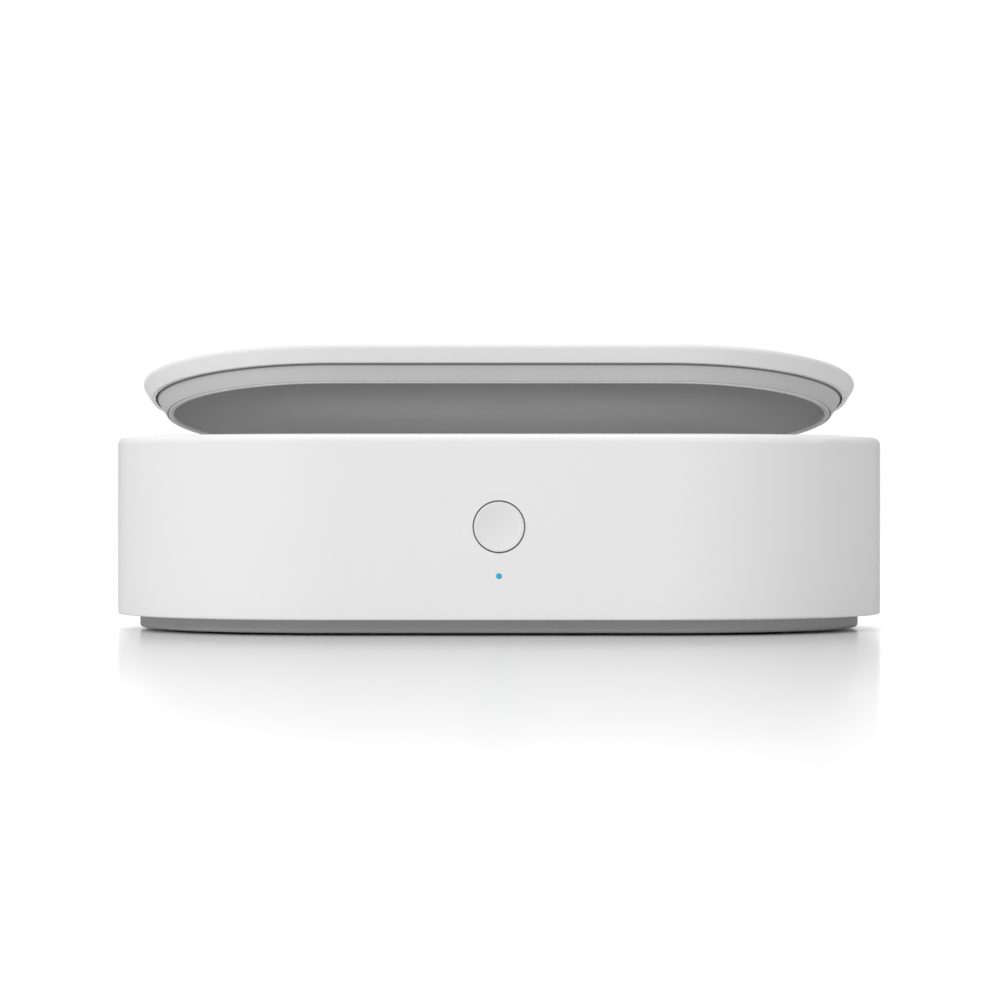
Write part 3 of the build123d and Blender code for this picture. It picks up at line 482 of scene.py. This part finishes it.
low, high = boxOf("usb_tongue")
size = high - low
mesh = bmesh.new()
addBlock(mesh, (0, 0, 0), size, inlet["edge"], inlet["edgeSteps"])
pinY = size.y / 2 - inlet["pinStart"] - inlet["pinLength"] / 2
pinSize = (inlet["pinWidth"], inlet["pinLength"], 2 * inlet["pinProud"])
for index in range(inlet["pins"]):
    x = (index - (inlet["pins"] - 1) / 2) * inlet["pitch"]
    for side in (-1, 1):
        addBlock(mesh, (x, pinY, side * size.z / 2), pinSize, inlet["pinEdge"], 1, finishIndex=1)
makePiece("inletTongue", mesh, Matrix.Translation(middle("usb_tongue")), ["blackResin", "goldPlate"], "base",
          "black_resin", "usb_tongue")

# the button's cap: a hollowed face for the finger, a flange behind the shell and a stem
cap = {"radius": 6.77, "edge": 0.26, "edgeSteps": 5, "hollow": 0.8, "margin": 0.35, "rings": 14,
       "flange": 8.3, "flangeThickness": 1.0, "flangeEdge": 0.12, "stem": 2.0, "stemLength": 0.95,
       "steps": 128}

low, high = boxOf("power_button")
backLevel = cap["stemLength"]
flangeTop = backLevel + cap["flangeThickness"]
faceLevel = high.y - low.y
hollowRadius = cap["radius"] - cap["margin"]
section = [(0, 0), (cap["stem"] - cap["flangeEdge"], 0), (cap["stem"], cap["flangeEdge"]),
           (cap["stem"], backLevel), (cap["flange"] - cap["flangeEdge"], backLevel),
           (cap["flange"], backLevel + cap["flangeEdge"]), (cap["flange"], flangeTop - cap["flangeEdge"]),
           (cap["flange"] - cap["flangeEdge"], flangeTop), (cap["radius"], flangeTop)]
for step in range(cap["edgeSteps"] + 1):
    angle = math.radians(90 * step / cap["edgeSteps"])
    section.append((cap["radius"] - cap["edge"] * (1 - math.cos(angle)),
                    faceLevel - cap["edge"] * (1 - math.sin(angle))))
for ring in range(cap["rings"] + 1):
    share = 1 - ring / cap["rings"]
    section.append((hollowRadius * share, faceLevel - cap["hollow"] * (1 - share ** 2)))
mesh = bmesh.new()
addRound(mesh, (0, 0, 0), section, cap["steps"])
makePiece("buttonCap", mesh, frontSeat("power_button"), ["whiteButton"], "button", "white_button",
          "power_button")

# feet: ribbed rubber discs
foot = {"radius": 7.0, "thickness": 1.6, "edge": 0.3, "edgeMiddle": 0.09, "rings": 3, "ringStart": 1.2,
        "ringStep": 1.5, "ringDepth": 0.25, "ringWidth": 0.5, "ringSlope": 0.1, "steps": 64}

low, high = boxOf("rubber_feet")
section = [(0, foot["thickness"]), (foot["radius"], foot["thickness"]), (foot["radius"], foot["edge"]),
           (foot["radius"] - foot["edgeMiddle"], foot["edgeMiddle"]), (foot["radius"] - foot["edge"], 0)]
for ring in range(foot["rings"]):
    outer = foot["radius"] - foot["ringStart"] - ring * foot["ringStep"]
    inner = outer - foot["ringWidth"]
    section += [(outer, 0), (outer - foot["ringSlope"], foot["ringDepth"]), (inner, foot["ringDepth"]),
                (inner - foot["ringSlope"], 0)]
section.append((0, 0))
mesh = bmesh.new()
for x in (low.x + foot["radius"], high.x - foot["radius"]):
    for y in (low.y + foot["radius"], high.y - foot["radius"]):
        addRound(mesh, (x, y, 0), section, foot["steps"])
makePiece("ribbedFeet", mesh, Matrix.Identity(4), ["footRubber"], "base", "foot_rubber", "rubber_feet")
print("inlet, cap and feet done")

# the two chips on the main board; bend is the share of a leg's way out at which it turns down
flatPack = {"body": (5.4, 5.4, 0.85), "stand": 0.13, "edge": 0.1, "dot": 0.3, "dotX": -2.0, "dotY": 2.0,
            "legs": 10, "pitch": 0.5, "reach": 3.5, "legWidth": 0.22, "legThick": 0.12, "legRise": 0.5}
smallOutline = {"body": (4.9, 3.9, 1.4), "stand": 0.18, "edge": 0.14, "dot": 0.35, "dotX": -1.8,
                "dotY": -1.3, "legs": 4, "pitch": 1.27, "reach": 3.0, "legWidth": 0.42, "legThick": 0.2,
                "legRise": 0.8}
chipShape = {"bend": 0.4, "legEdge": 0.02, "sunk": 0.02, "dotFloor": 0.004, "dotFlat": 0.7, "dotSkirt": 1.1,
             "dotBelow": 0.01, "dotSteps": 20}


# a row of bent legs along the +Y side of a chip, turned to any of its four sides
def addLegs(mesh, chip, quarterTurns, bodyTo):
    width, thick, rise = chip["legWidth"], chip["legThick"], chip["legRise"]
    outTo = chip["reach"]
    bend = bodyTo + (outTo - bodyTo) * chipShape["bend"]
    parts = [((outTo + bend) / 2, thick / 2, outTo - bend, thick),                     # flat on the board
             (bend, rise / 2, thick, rise),                                            # upright
             ((bend + bodyTo) / 2 - thick, rise, bend - bodyTo + 2 * thick, thick)]    # into the body

    def build():
        for index in range(chip["legs"]):
            x = (index - (chip["legs"] - 1) / 2) * chip["pitch"]
            for y, z, length, height in parts:
                addBlock(mesh, (x, y, z), (width, length, height), chipShape["legEdge"], 1, finishIndex=1)

    turn = Matrix.Rotation(math.radians(90 * quarterTurns), 3, "Z")
    bmesh.ops.rotate(mesh, matrix=turn, verts=cornersOf(addedBy(mesh, build)))


# a black body with a dimple at its first leg, and legs on the sides that quarter turns lead to
def chipMesh(chip, sides, bodyTo):
    mesh = bmesh.new()
    length, width, height = chip["body"]
    body = addBlock(mesh, (0, 0, chip["stand"] + height / 2), (length, width, height), chip["edge"])
    bmesh.ops.inset_region(mesh, faces=[topFace(body)], thickness=chip["edge"], depth=-chipShape["sunk"])
    dot, floorLevel = chip["dot"], chipShape["dotFloor"]
    section = [(0, floorLevel), (dot * chipShape["dotFlat"], floorLevel), (dot, chipShape["sunk"]),
               (dot * chipShape["dotSkirt"], -chipShape["dotBelow"])]
    addRound(mesh, (chip["dotX"], chip["dotY"], chip["stand"] + height - chipShape["sunk"]), section,
             chipShape["dotSteps"])
    for side in sides:
        addLegs(mesh, chip, side, bodyTo)
    return mesh


mesh = chipMesh(flatPack, (0, 1, 2, 3), flatPack["body"][0] / 2)
makePiece("controllerChip", mesh, seat("mcu_chip"), ["blackResin", "solder"], "base", "black_resin",
          "mcu_chip")
mesh = chipMesh(smallOutline, (0, 2), smallOutline["body"][1] / 2)
makePiece("driverChip", mesh, seat("led_driver"), ["blackResin", "solder"], "base", "black_resin",
          "led_driver")

# a choke: ferrite foot and cap, with copper wire wound between them and a tinned pad at each side
choke = {"size": 8.0, "corner": 1.2, "foot": 0.9, "cap": 0.9, "height": 4.0, "capRadius": 3.75,
         "capEdge": 0.2, "well": 1.2, "wellRim": 1.4, "wellDepth": 0.3, "wire": 0.32, "wound": 3.2,
         "core": 2.2, "wireAngles": (-60, -30, 0, 30, 60), "steps": 48, "pad": (0.96, 2.4, 1.0),
         "padX": 3.52, "padEdge": 0.08}

mesh = bmesh.new()
addBlock(mesh, (0, 0, choke["foot"] / 2), (choke["size"], choke["size"], choke["foot"]), choke["corner"], 1,
         uprightOnly=True)
capBottom = choke["height"] - choke["cap"]
section = [(0, 0), (choke["capRadius"], 0), (choke["capRadius"], choke["cap"] - choke["capEdge"]),
           (choke["capRadius"] - choke["capEdge"], choke["cap"]), (choke["wellRim"], choke["cap"]),
           (choke["well"], choke["cap"] - choke["wellDepth"]), (0, choke["cap"] - choke["wellDepth"])]
addRound(mesh, (0, 0, capBottom), section, choke["steps"])
turns = int((capBottom - choke["foot"]) / choke["wire"])
wound = [(choke["core"], choke["foot"])]
for index in range(turns):
    level = choke["foot"] + (index + 0.5) * choke["wire"]
    for across in (math.radians(angle) for angle in choke["wireAngles"]):
        wound.append((choke["wound"] + choke["wire"] / 2 * math.cos(across),
                      level + choke["wire"] / 2 * math.sin(across)))
wound.append((choke["core"], capBottom))
addRound(mesh, (0, 0, 0), wound, choke["steps"], 1)
for side in (-1, 1):
    addBlock(mesh, (side * choke["padX"], 0, choke["pad"][2] / 2), choke["pad"], choke["padEdge"],
             finishIndex=2)
makePiece("powerChoke", mesh, seat("power_inductor"), ["blackResin", "copper", "solder"], "base",
          "black_resin", "power_inductor")

# two capacitors in crimped cans with scored tops
can = {"radius": 3.15, "height": 7.7, "crimp": 0.3, "crimpFrom": 0.9, "crimpTo": 1.7, "edge": 0.4,
       "edgeMiddle": 0.12, "rim": 0.7, "sunk": 0.1, "steps": 48, "score": 0.12, "scoreLength": 3.78,
       "scoreHeight": 0.06, "scoreSunk": 0.09, "scoreEdge": 0.02}

low, high = boxOf("capacitors")
radius, height = can["radius"], can["height"]
section = [(0, 0), (radius, 0), (radius, can["crimpFrom"]),
           (radius - can["crimp"], (can["crimpFrom"] + can["crimpTo"]) / 2), (radius, can["crimpTo"]),
           (radius, height - can["edge"]), (radius - can["edgeMiddle"], height - can["edgeMiddle"]),
           (radius - can["edge"], height), (radius - can["rim"], height),
           (radius - can["rim"] - can["sunk"], height - can["sunk"]), (0, height - can["sunk"])]
scoreZ = low.z + height - can["scoreSunk"]
mesh = bmesh.new()
for y in (low.y + radius, high.y - radius):
    x = (low.x + high.x) / 2
    addRound(mesh, (x, y, low.z), section, can["steps"])
    for across in ((can["score"], can["scoreLength"]), (can["scoreLength"], can["score"])):
        addBlock(mesh, (x, y, scoreZ), (*across, can["scoreHeight"]), can["scoreEdge"], 1, finishIndex=1)
makePiece("crimpedCans", mesh, Matrix.Identity(4), ["canAluminium", "blackResin"], "base", "capacitor_can",
          "capacitors")

# nylon wire headers: a housing with a latch rail on top, and a black grommet where the lead comes out
header = {"width": 5.0, "length": 7.5, "rearY": 39.0, "middleY": 28.0, "frontY": 20.5, "edge": 0.25,
          "railShare": 0.6, "railWidth": 1.0, "railHeight": 0.5, "railDrop": 0.15, "railEdge": 0.12,
          "grommet": 3.0, "grommetHeight": 2.6, "grommetDepth": 0.5, "grommetSunk": 0.23,
          "grommetEdge": 0.15}


def addHousing(mesh, centre, size, railAxis):
    addBlock(mesh, centre, size, header["edge"])
    rail = [size[0] * header["railShare"], size[1] * header["railShare"], header["railHeight"]]
    rail[railAxis] = header["railWidth"]
    top = centre[2] + size[2] / 2
    addBlock(mesh, (centre[0], centre[1], top - header["railDrop"]), rail, header["railEdge"])


# towards is the side, as steps along X and Y, where the lead comes out
def addHeader(mesh, centre, size, towards):
    outAxis = 0 if towards[0] else 1
    addHousing(mesh, centre, size, outAxis)
    grommet = [header["grommet"], header["grommet"], header["grommetHeight"]]
    grommet[outAxis] = header["grommetDepth"]
    spot = list(centre)
    spot[outAxis] += towards[outAxis] * (size[outAxis] / 2 - header["grommetSunk"])
    addBlock(mesh, spot, grommet, header["grommetEdge"], finishIndex=1)


low, high = boxOf("wire_headers")
height = high.z - low.z
level = low.z + height / 2
mesh = bmesh.new()
for side in (-1, 1):
    x = side * (high.x - header["width"] / 2)
    for y in (header["rearY"], header["middleY"]):
        addHeader(mesh, (x, y, level), (header["width"], header["length"], height), (side, 0))
addHeader(mesh, (0, header["frontY"], level), (header["length"], header["width"], height), (0, -1))
makePiece("boardHeaders", mesh, Matrix.Identity(4), ["ivoryNylon", "blackResin"], "base", "ivory_nylon",
          "wire_headers")
print("main board done")

# the small parts on the button's upright board, first the indicator's lamp: a white cup with a clear
# filling and soldered ends
lampCup = {"length": 2.0, "width": 1.24, "height": 0.55, "edge": 0.05, "wall": 0.2, "hollow": 0.2,
           "fill": (1.4, 0.93, 0.35), "fillLevel": 0.575, "fillEdge": 0.1, "fillSteps": 3,
           "end": (0.3, 1.116, 0.32), "endEdge": 0.03}

mesh = bmesh.new()
size = (lampCup["length"], lampCup["width"], lampCup["height"])
cup = addBlock(mesh, (0, 0, lampCup["height"] / 2), size, lampCup["edge"])
bmesh.ops.inset_region(mesh, faces=[topFace(cup)], thickness=lampCup["wall"], depth=-lampCup["hollow"])
addBlock(mesh, (0, 0, lampCup["fillLevel"]), lampCup["fill"], lampCup["fillEdge"], lampCup["fillSteps"],
         finishIndex=1)
endLength, endHeight = lampCup["end"][0], lampCup["end"][2]
for side in (-1, 1):
    addBlock(mesh, (side * (lampCup["length"] - endLength) / 2, 0, endHeight / 2), lampCup["end"],
             lampCup["endEdge"], finishIndex=2)
makePiece("indicatorLamp", mesh, frontSeat("status_led"), ["ivoryNylon", "quartz", "solder"], "base",
          "ivory_nylon", "status_led")

# a switch with a bore for its plunger and a riveted steel plate over its body
switch = {"half": 3.0, "height": 3.5, "bore": 1.85, "boreDepth": 1.2, "collar": 2.5, "plateTop": 3.2,
          "plate": 0.3, "edge": 0.12, "bodyInset": 0.1, "steps": 32, "rivet": 0.4, "rivetSpread": 2.35,
          "rivetHeight": 0.16, "rivetCrown": (0.24, 0.14), "rivetBelow": 0.05, "rivetSteps": 20}

collar, half, plateTop = switch["collar"], switch["half"], switch["plateTop"]
mesh = bmesh.new()
rim = bmesh.ops.create_circle(mesh, cap_ends=True, segments=switch["steps"], radius=switch["bore"])["verts"]
bmesh.ops.translate(mesh, vec=(0, 0, switch["height"] - switch["boreDepth"]), verts=rim)
edges = nextRing(mesh, list(mesh.edges), switch["bore"], switch["height"])
edges = nextRing(mesh, edges, collar - switch["edge"], switch["height"])
edges = nextRing(mesh, edges, collar, switch["height"] - switch["edge"])
edges = nextRing(mesh, edges, collar, plateTop)
resin = set(mesh.faces)
edges = nextRing(mesh, edges, half - switch["edge"], plateTop, square=True)
edges = nextRing(mesh, edges, half, plateTop - switch["edge"], square=True)
edges = nextRing(mesh, edges, half, plateTop - switch["plate"], square=True)
wear([face for face in mesh.faces if face not in resin], 1)
edges = nextRing(mesh, edges, half - switch["bodyInset"], plateTop - switch["plate"], square=True)
edges = nextRing(mesh, edges, half - switch["bodyInset"], 0, square=True)
bmesh.ops.edgeloop_fill(mesh, edges=edges)
section = [(0, switch["rivetHeight"]), switch["rivetCrown"], (switch["rivet"], 0),
           (switch["rivet"], -switch["rivetBelow"])]
for x in (-switch["rivetSpread"], switch["rivetSpread"]):
    for y in (-switch["rivetSpread"], switch["rivetSpread"]):
        addRound(mesh, (x, y, plateTop), section, switch["rivetSteps"])
makePiece("buttonSwitch", mesh, frontSeat("tact_switch"), ["blackResin", "brightSteel"], "base",
          "black_resin", "tact_switch")

# the sensor that feels the lid's magnet, on three bent legs
sensor = {"body": (2.9, 1.3, 0.95), "stand": 0.1, "edge": 0.1, "legSpread": 0.95, "legEdge": 0.02,
          "foot": (0.4, 0.3, 0.12), "footY": 0.65, "upright": (0.4, 0.12, 0.5), "uprightY": 0.68,
          "uprightLevel": 0.3}

mesh = bmesh.new()
addBlock(mesh, (0, 0, sensor["stand"] + sensor["body"][2] / 2), sensor["body"], sensor["edge"])
for x, side in ((-sensor["legSpread"], -1), (sensor["legSpread"], -1), (0, 1)):
    addBlock(mesh, (x, side * sensor["footY"], sensor["foot"][2] / 2), sensor["foot"], sensor["legEdge"], 1,
             finishIndex=1)
    addBlock(mesh, (x, side * sensor["uprightY"], sensor["uprightLevel"]), sensor["upright"],
             sensor["legEdge"], 1, finishIndex=1)
makePiece("lidSensor", mesh, frontSeat("hall_sensor"), ["blackResin", "solder"], "base", "black_resin",
          "hall_sensor")

# the header on the upright board, soldered by a tab at each end
tab = {"length": 0.7, "height": 0.28, "inset": 0.6, "narrower": 0.4, "edge": 0.04}

low, high = boxOf("button_header")
size = (high.x - low.x, high.z - low.z, high.y - low.y)
mesh = bmesh.new()
addHousing(mesh, (0, 0, size[2] / 2), size, 0)
for side in (-1, 1):
    addBlock(mesh, (side * (size[0] / 2 - tab["inset"]), 0, tab["height"] / 2),
             (tab["length"], size[1] - tab["narrower"], tab["height"]), tab["edge"], 1, finishIndex=1)
makePiece("upperHeader", mesh, frontSeat("button_header"), ["ivoryNylon", "solder"], "base", "ivory_nylon",
          "button_header")
print("button board done")

# screws: cross-headed, with turned threads
panScrew = {"head": 1.9, "headHeight": 1.3, "shank": 1.0, "recess": 1.1, "recessDepth": 0.7, "sunk": False}
largeScrew = {"head": 2.75, "headHeight": 2.2, "shank": 1.5, "recess": 1.7, "recessDepth": 1.1,
              "sunk": False}
sunkScrew = {"head": 1.9, "headHeight": 1.0, "shank": 1.0, "recess": 1.1, "recessDepth": 0.6, "sunk": True}
thread = {"pitch": 0.5, "depth": 0.14, "crest": 0.05, "crestAbove": 0.02, "tip": 0.6, "tipShare": 0.55}
headShape = {"armShare": 0.75, "crown": 0.75, "shoulder": 0.93, "shoulderDrop": 0.15, "sideDrop": 0.45,
             "recessSlope": 0.05}


# a screw whose head's top is at the origin, with its shank down -Z
def addScrew(mesh, screw, length, place):
    def build():
        arm = screw["recess"]
        grid = bmesh.ops.create_grid(mesh, x_segments=3, y_segments=3, size=arm)["verts"]
        faces = {face for corner in grid for face in corner.link_faces}
        unused = [face for face in faces
                  if min(abs(face.calc_center_median().x), abs(face.calc_center_median().y)) > arm / 2]
        cross = [face for face in faces if face not in unused]
        bmesh.ops.delete(mesh, geom=unused, context="FACES")
        for corner in cornersOf(cross):
            for axis in (0, 1):
                if abs(corner.co[axis]) < arm / 2:
                    corner.co[axis] *= headShape["armShare"]
        edges = [line for line in {line for face in cross for line in face.edges} if line.is_boundary]
        head, shank, height = screw["head"], screw["shank"], screw["headHeight"]
        edges = nextRing(mesh, edges, head * headShape["crown"], 0)
        if screw["sunk"]:
            edges = nextRing(mesh, edges, head, 0)
        else:
            edges = nextRing(mesh, edges, head * headShape["shoulder"], -height * headShape["shoulderDrop"])
            edges = nextRing(mesh, edges, head, -height * headShape["sideDrop"])
            edges = nextRing(mesh, edges, head, -height)
        edges = nextRing(mesh, edges, shank, -height)
        level = -height
        while level - thread["pitch"] > -length + thread["tip"]:
            edges = nextRing(mesh, edges, shank, level - thread["crest"])
            edges = nextRing(mesh, edges, shank - thread["depth"], level - thread["pitch"] / 2)
            edges = nextRing(mesh, edges, shank, level - thread["pitch"] + thread["crestAbove"])
            level -= thread["pitch"]
        edges = nextRing(mesh, edges, shank * thread["tipShare"], -length)
        bmesh.ops.edgeloop_fill(mesh, edges=edges)
        bmesh.ops.inset_region(mesh, faces=cross, thickness=headShape["recessSlope"],
                               depth=-screw["recessDepth"])

    bmesh.ops.transform(mesh, matrix=place, verts=cornersOf(addedBy(mesh, build)))


# the place and length of each screw of a node, seen along it: one for each loose part of its mesh
def screwPlaces(node, turn):
    copy = bmesh.new()
    copy.from_mesh(nodes[node].data)
    bmesh.ops.remove_doubles(copy, verts=copy.verts, dist=0.01 * mm)
    bmesh.ops.transform(copy, matrix=turn.inverted() @ Matrix.Scale(1 / mm, 4), verts=copy.verts)
    left = set(copy.verts)
    places = []
    while left:
        part = {left.pop()}
        edge = list(part)
        while edge:
            reached = {line.other_vert(corner) for corner in edge for line in corner.link_edges} - part
            part |= reached
            edge = list(reached)
        left -= part
        low = Vector([min(corner.co[axis] for corner in part) for axis in range(3)])
        high = Vector([max(corner.co[axis] for corner in part) for axis in range(3)])
        top = Vector(((low.x + high.x) / 2, (low.y + high.y) / 2, high.z))
        places.append((turn @ Matrix.Translation(top), high.z - low.z))
    copy.free()
    return sorted(places, key=lambda found: tuple(round(v, 3) for v in found[0].translation))


# each set's node, its kind of screw, the turn that gives the head's direction, and its body
headUp = Matrix.Identity(4)
headDown = Matrix.Rotation(math.radians(180), 4, "X")
headBack = Matrix.Rotation(math.radians(-90), 4, "X")
headInLid = Matrix.Rotation(math.radians(hinge["range_deg"][0]), 4, "X") @ headDown
screwSets = {
    "baseScrews": ("base_screws", largeScrew, headDown, "base"),
    "trayScrews": ("tray_screws", panScrew, headDown, "base"),
    "bracketScrews": ("bracket_screws", panScrew, headDown, "base"),
    "mainBoardScrews": ("main_board_screws", panScrew, headUp, "base"),
    "buttonBoardScrews": ("button_board_screws", panScrew, headBack, "base"),
    "frameScrews": ("frame_screws", sunkScrew, headInLid, "lid"),
    "armScrews": ("arm_screws", sunkScrew, headInLid, "lid"),
}
for name, (node, screw, turn, body) in screwSets.items():
    mesh = bmesh.new()
    for place, length in screwPlaces(node, turn):
        addScrew(mesh, screw, length, place)
    makePiece(name, mesh, Matrix.Identity(4), ["brightSteel"], body, "bright_steel", node)
print("screws done")

# stage: floor, cards, lamps, world, camera
floorPlan = {"size": 2.4, "colour": (0.77, 0.77, 0.77), "roughness": 0.16}

floorMesh = bmesh.new()
bmesh.ops.create_grid(floorMesh, x_segments=1, y_segments=1, size=floorPlan["size"])
floorData = bpy.data.meshes.new("floor")
floorMesh.to_mesh(floorData)
floorMesh.free()
floor = bpy.data.objects.new("floor", floorData)
bpy.context.scene.collection.objects.link(floor)
floor.data.materials.append(
    finish("floorFinish", floorPlan["colour"], floorPlan["roughness"], grain=0.0, drift=0.0, unevenness=0.0)
)

# dark cards beside the view, which only glossy surfaces see, draw an edge on the white ends
card = {"near": 0.42, "far": 0.95, "depth": 1.5, "height": 0.7}

cardFinish = finish("cardFinish", (0.02, 0.02, 0.02), 0.9, grain=0.0, drift=0.0, unevenness=0.0)
for name, side in (("cardLeft", -1), ("cardRight", 1)):
    cardMesh = bmesh.new()                   # a grid of size 0.5 is one metre wide before it is scaled
    corners = bmesh.ops.create_grid(cardMesh, x_segments=1, y_segments=1, size=0.5)["verts"]
    bmesh.ops.scale(cardMesh, vec=(card["far"] - card["near"], card["height"], 1), verts=corners)
    bmesh.ops.rotate(cardMesh, matrix=Matrix.Rotation(math.radians(90), 3, "X"), verts=corners)
    place = (side * (card["near"] + card["far"]) / 2, card["depth"], card["height"] / 2)
    bmesh.ops.translate(cardMesh, vec=place, verts=corners)
    cardData = bpy.data.meshes.new(name)
    cardMesh.to_mesh(cardData)
    cardMesh.free()
    cardData.materials.append(cardFinish)
    cardObject = bpy.data.objects.new(name, cardData)
    bpy.context.scene.collection.objects.link(cardObject)
    for kind in ("camera", "diffuse", "transmission", "volume_scatter", "shadow"):
        setattr(cardObject, "visible_" + kind, False)


def areaLamp(name, place, aim, size, power, inGloss=False):
    data = bpy.data.lights.new(name, "AREA")
    data.shape = "RECTANGLE"
    data.size, data.size_y = size
    data.energy = power
    lamp = bpy.data.objects.new(name, data)
    lamp.location = place
    lamp.visible_camera = False
    lamp.visible_glossy = inGloss            # the others leave no bright patches in shiny surfaces
    lamp.rotation_euler = (Vector(aim) - Vector(place)).to_track_quat("-Z", "Y").to_euler()
    bpy.context.scene.collection.objects.link(lamp)


lamps = {
    "backLamp": {"place": (0, 2.6, 0.9), "aim": (0, 0, 0), "size": (1.3, 0.75), "power": 14.8,
                 "inGloss": True},
    "leftLamp": {"place": (-1.9, -1.6, 1.4), "aim": (0, 0, 0.03), "size": (1.2, 1.0), "power": 18.2},
    "frontLamp": {"place": (-0.3, -2.1, 1.1), "aim": (0, 0, 0.05), "size": (1.4, 0.7), "power": 14.4},
    "chamberLamp": {"place": (0, 0.014, 0.028), "aim": (0, 0.014, 1), "size": (0.164, 0.036),
                    "power": 0.0148},
}
for name, lamp in lamps.items():
    areaLamp(name, **lamp)

# soft light from straight above, and an even world that glossy and clear surfaces see as white
sky = {"power": 1.25, "spread": 40, "height": 2.0, "ambient": 0.38}

sun = bpy.data.lights.new("skyLamp", "SUN")
sun.angle = math.radians(sky["spread"])
sun.energy = sky["power"]
sunObject = bpy.data.objects.new("skyLamp", sun)
sunObject.location = (0, 0, sky["height"])
bpy.context.scene.collection.objects.link(sunObject)

world = bpy.data.worlds.new("studio")
bpy.context.scene.world = world
tree = Tree(world)
rays = [tree.node("ShaderNodeLightPath", output="Is " + kind + " Ray")
        for kind in ("Camera", "Glossy", "Transmission")]
seen = rays[0].top(rays[1]).top(rays[2])
strength = seen * (1.0 - sky["ambient"]) + sky["ambient"]
background = tree.node("ShaderNodeBackground", inputs={"Color": (1, 1, 1, 1), "Strength": strength})
tree.node("ShaderNodeOutputWorld", inputs={"Surface": background})

camera = {"distance": 1.0114, "height": 0.03671, "lens": 126.8, "sensor": 36, "shift": 0.001}

cameraData = bpy.data.cameras.new("camera")
cameraData.sensor_width = camera["sensor"]
cameraData.lens = camera["lens"]
cameraData.shift_x = camera["shift"]
cameraObject = bpy.data.objects.new("camera", cameraData)
cameraObject.location = (0, -camera["distance"], camera["height"])
cameraObject.rotation_euler = (math.radians(90), 0, 0)
bpy.context.scene.collection.objects.link(cameraObject)
bpy.context.scene.camera = cameraObject
bpy.context.scene.view_settings.view_transform = "Standard"
print("stage done")
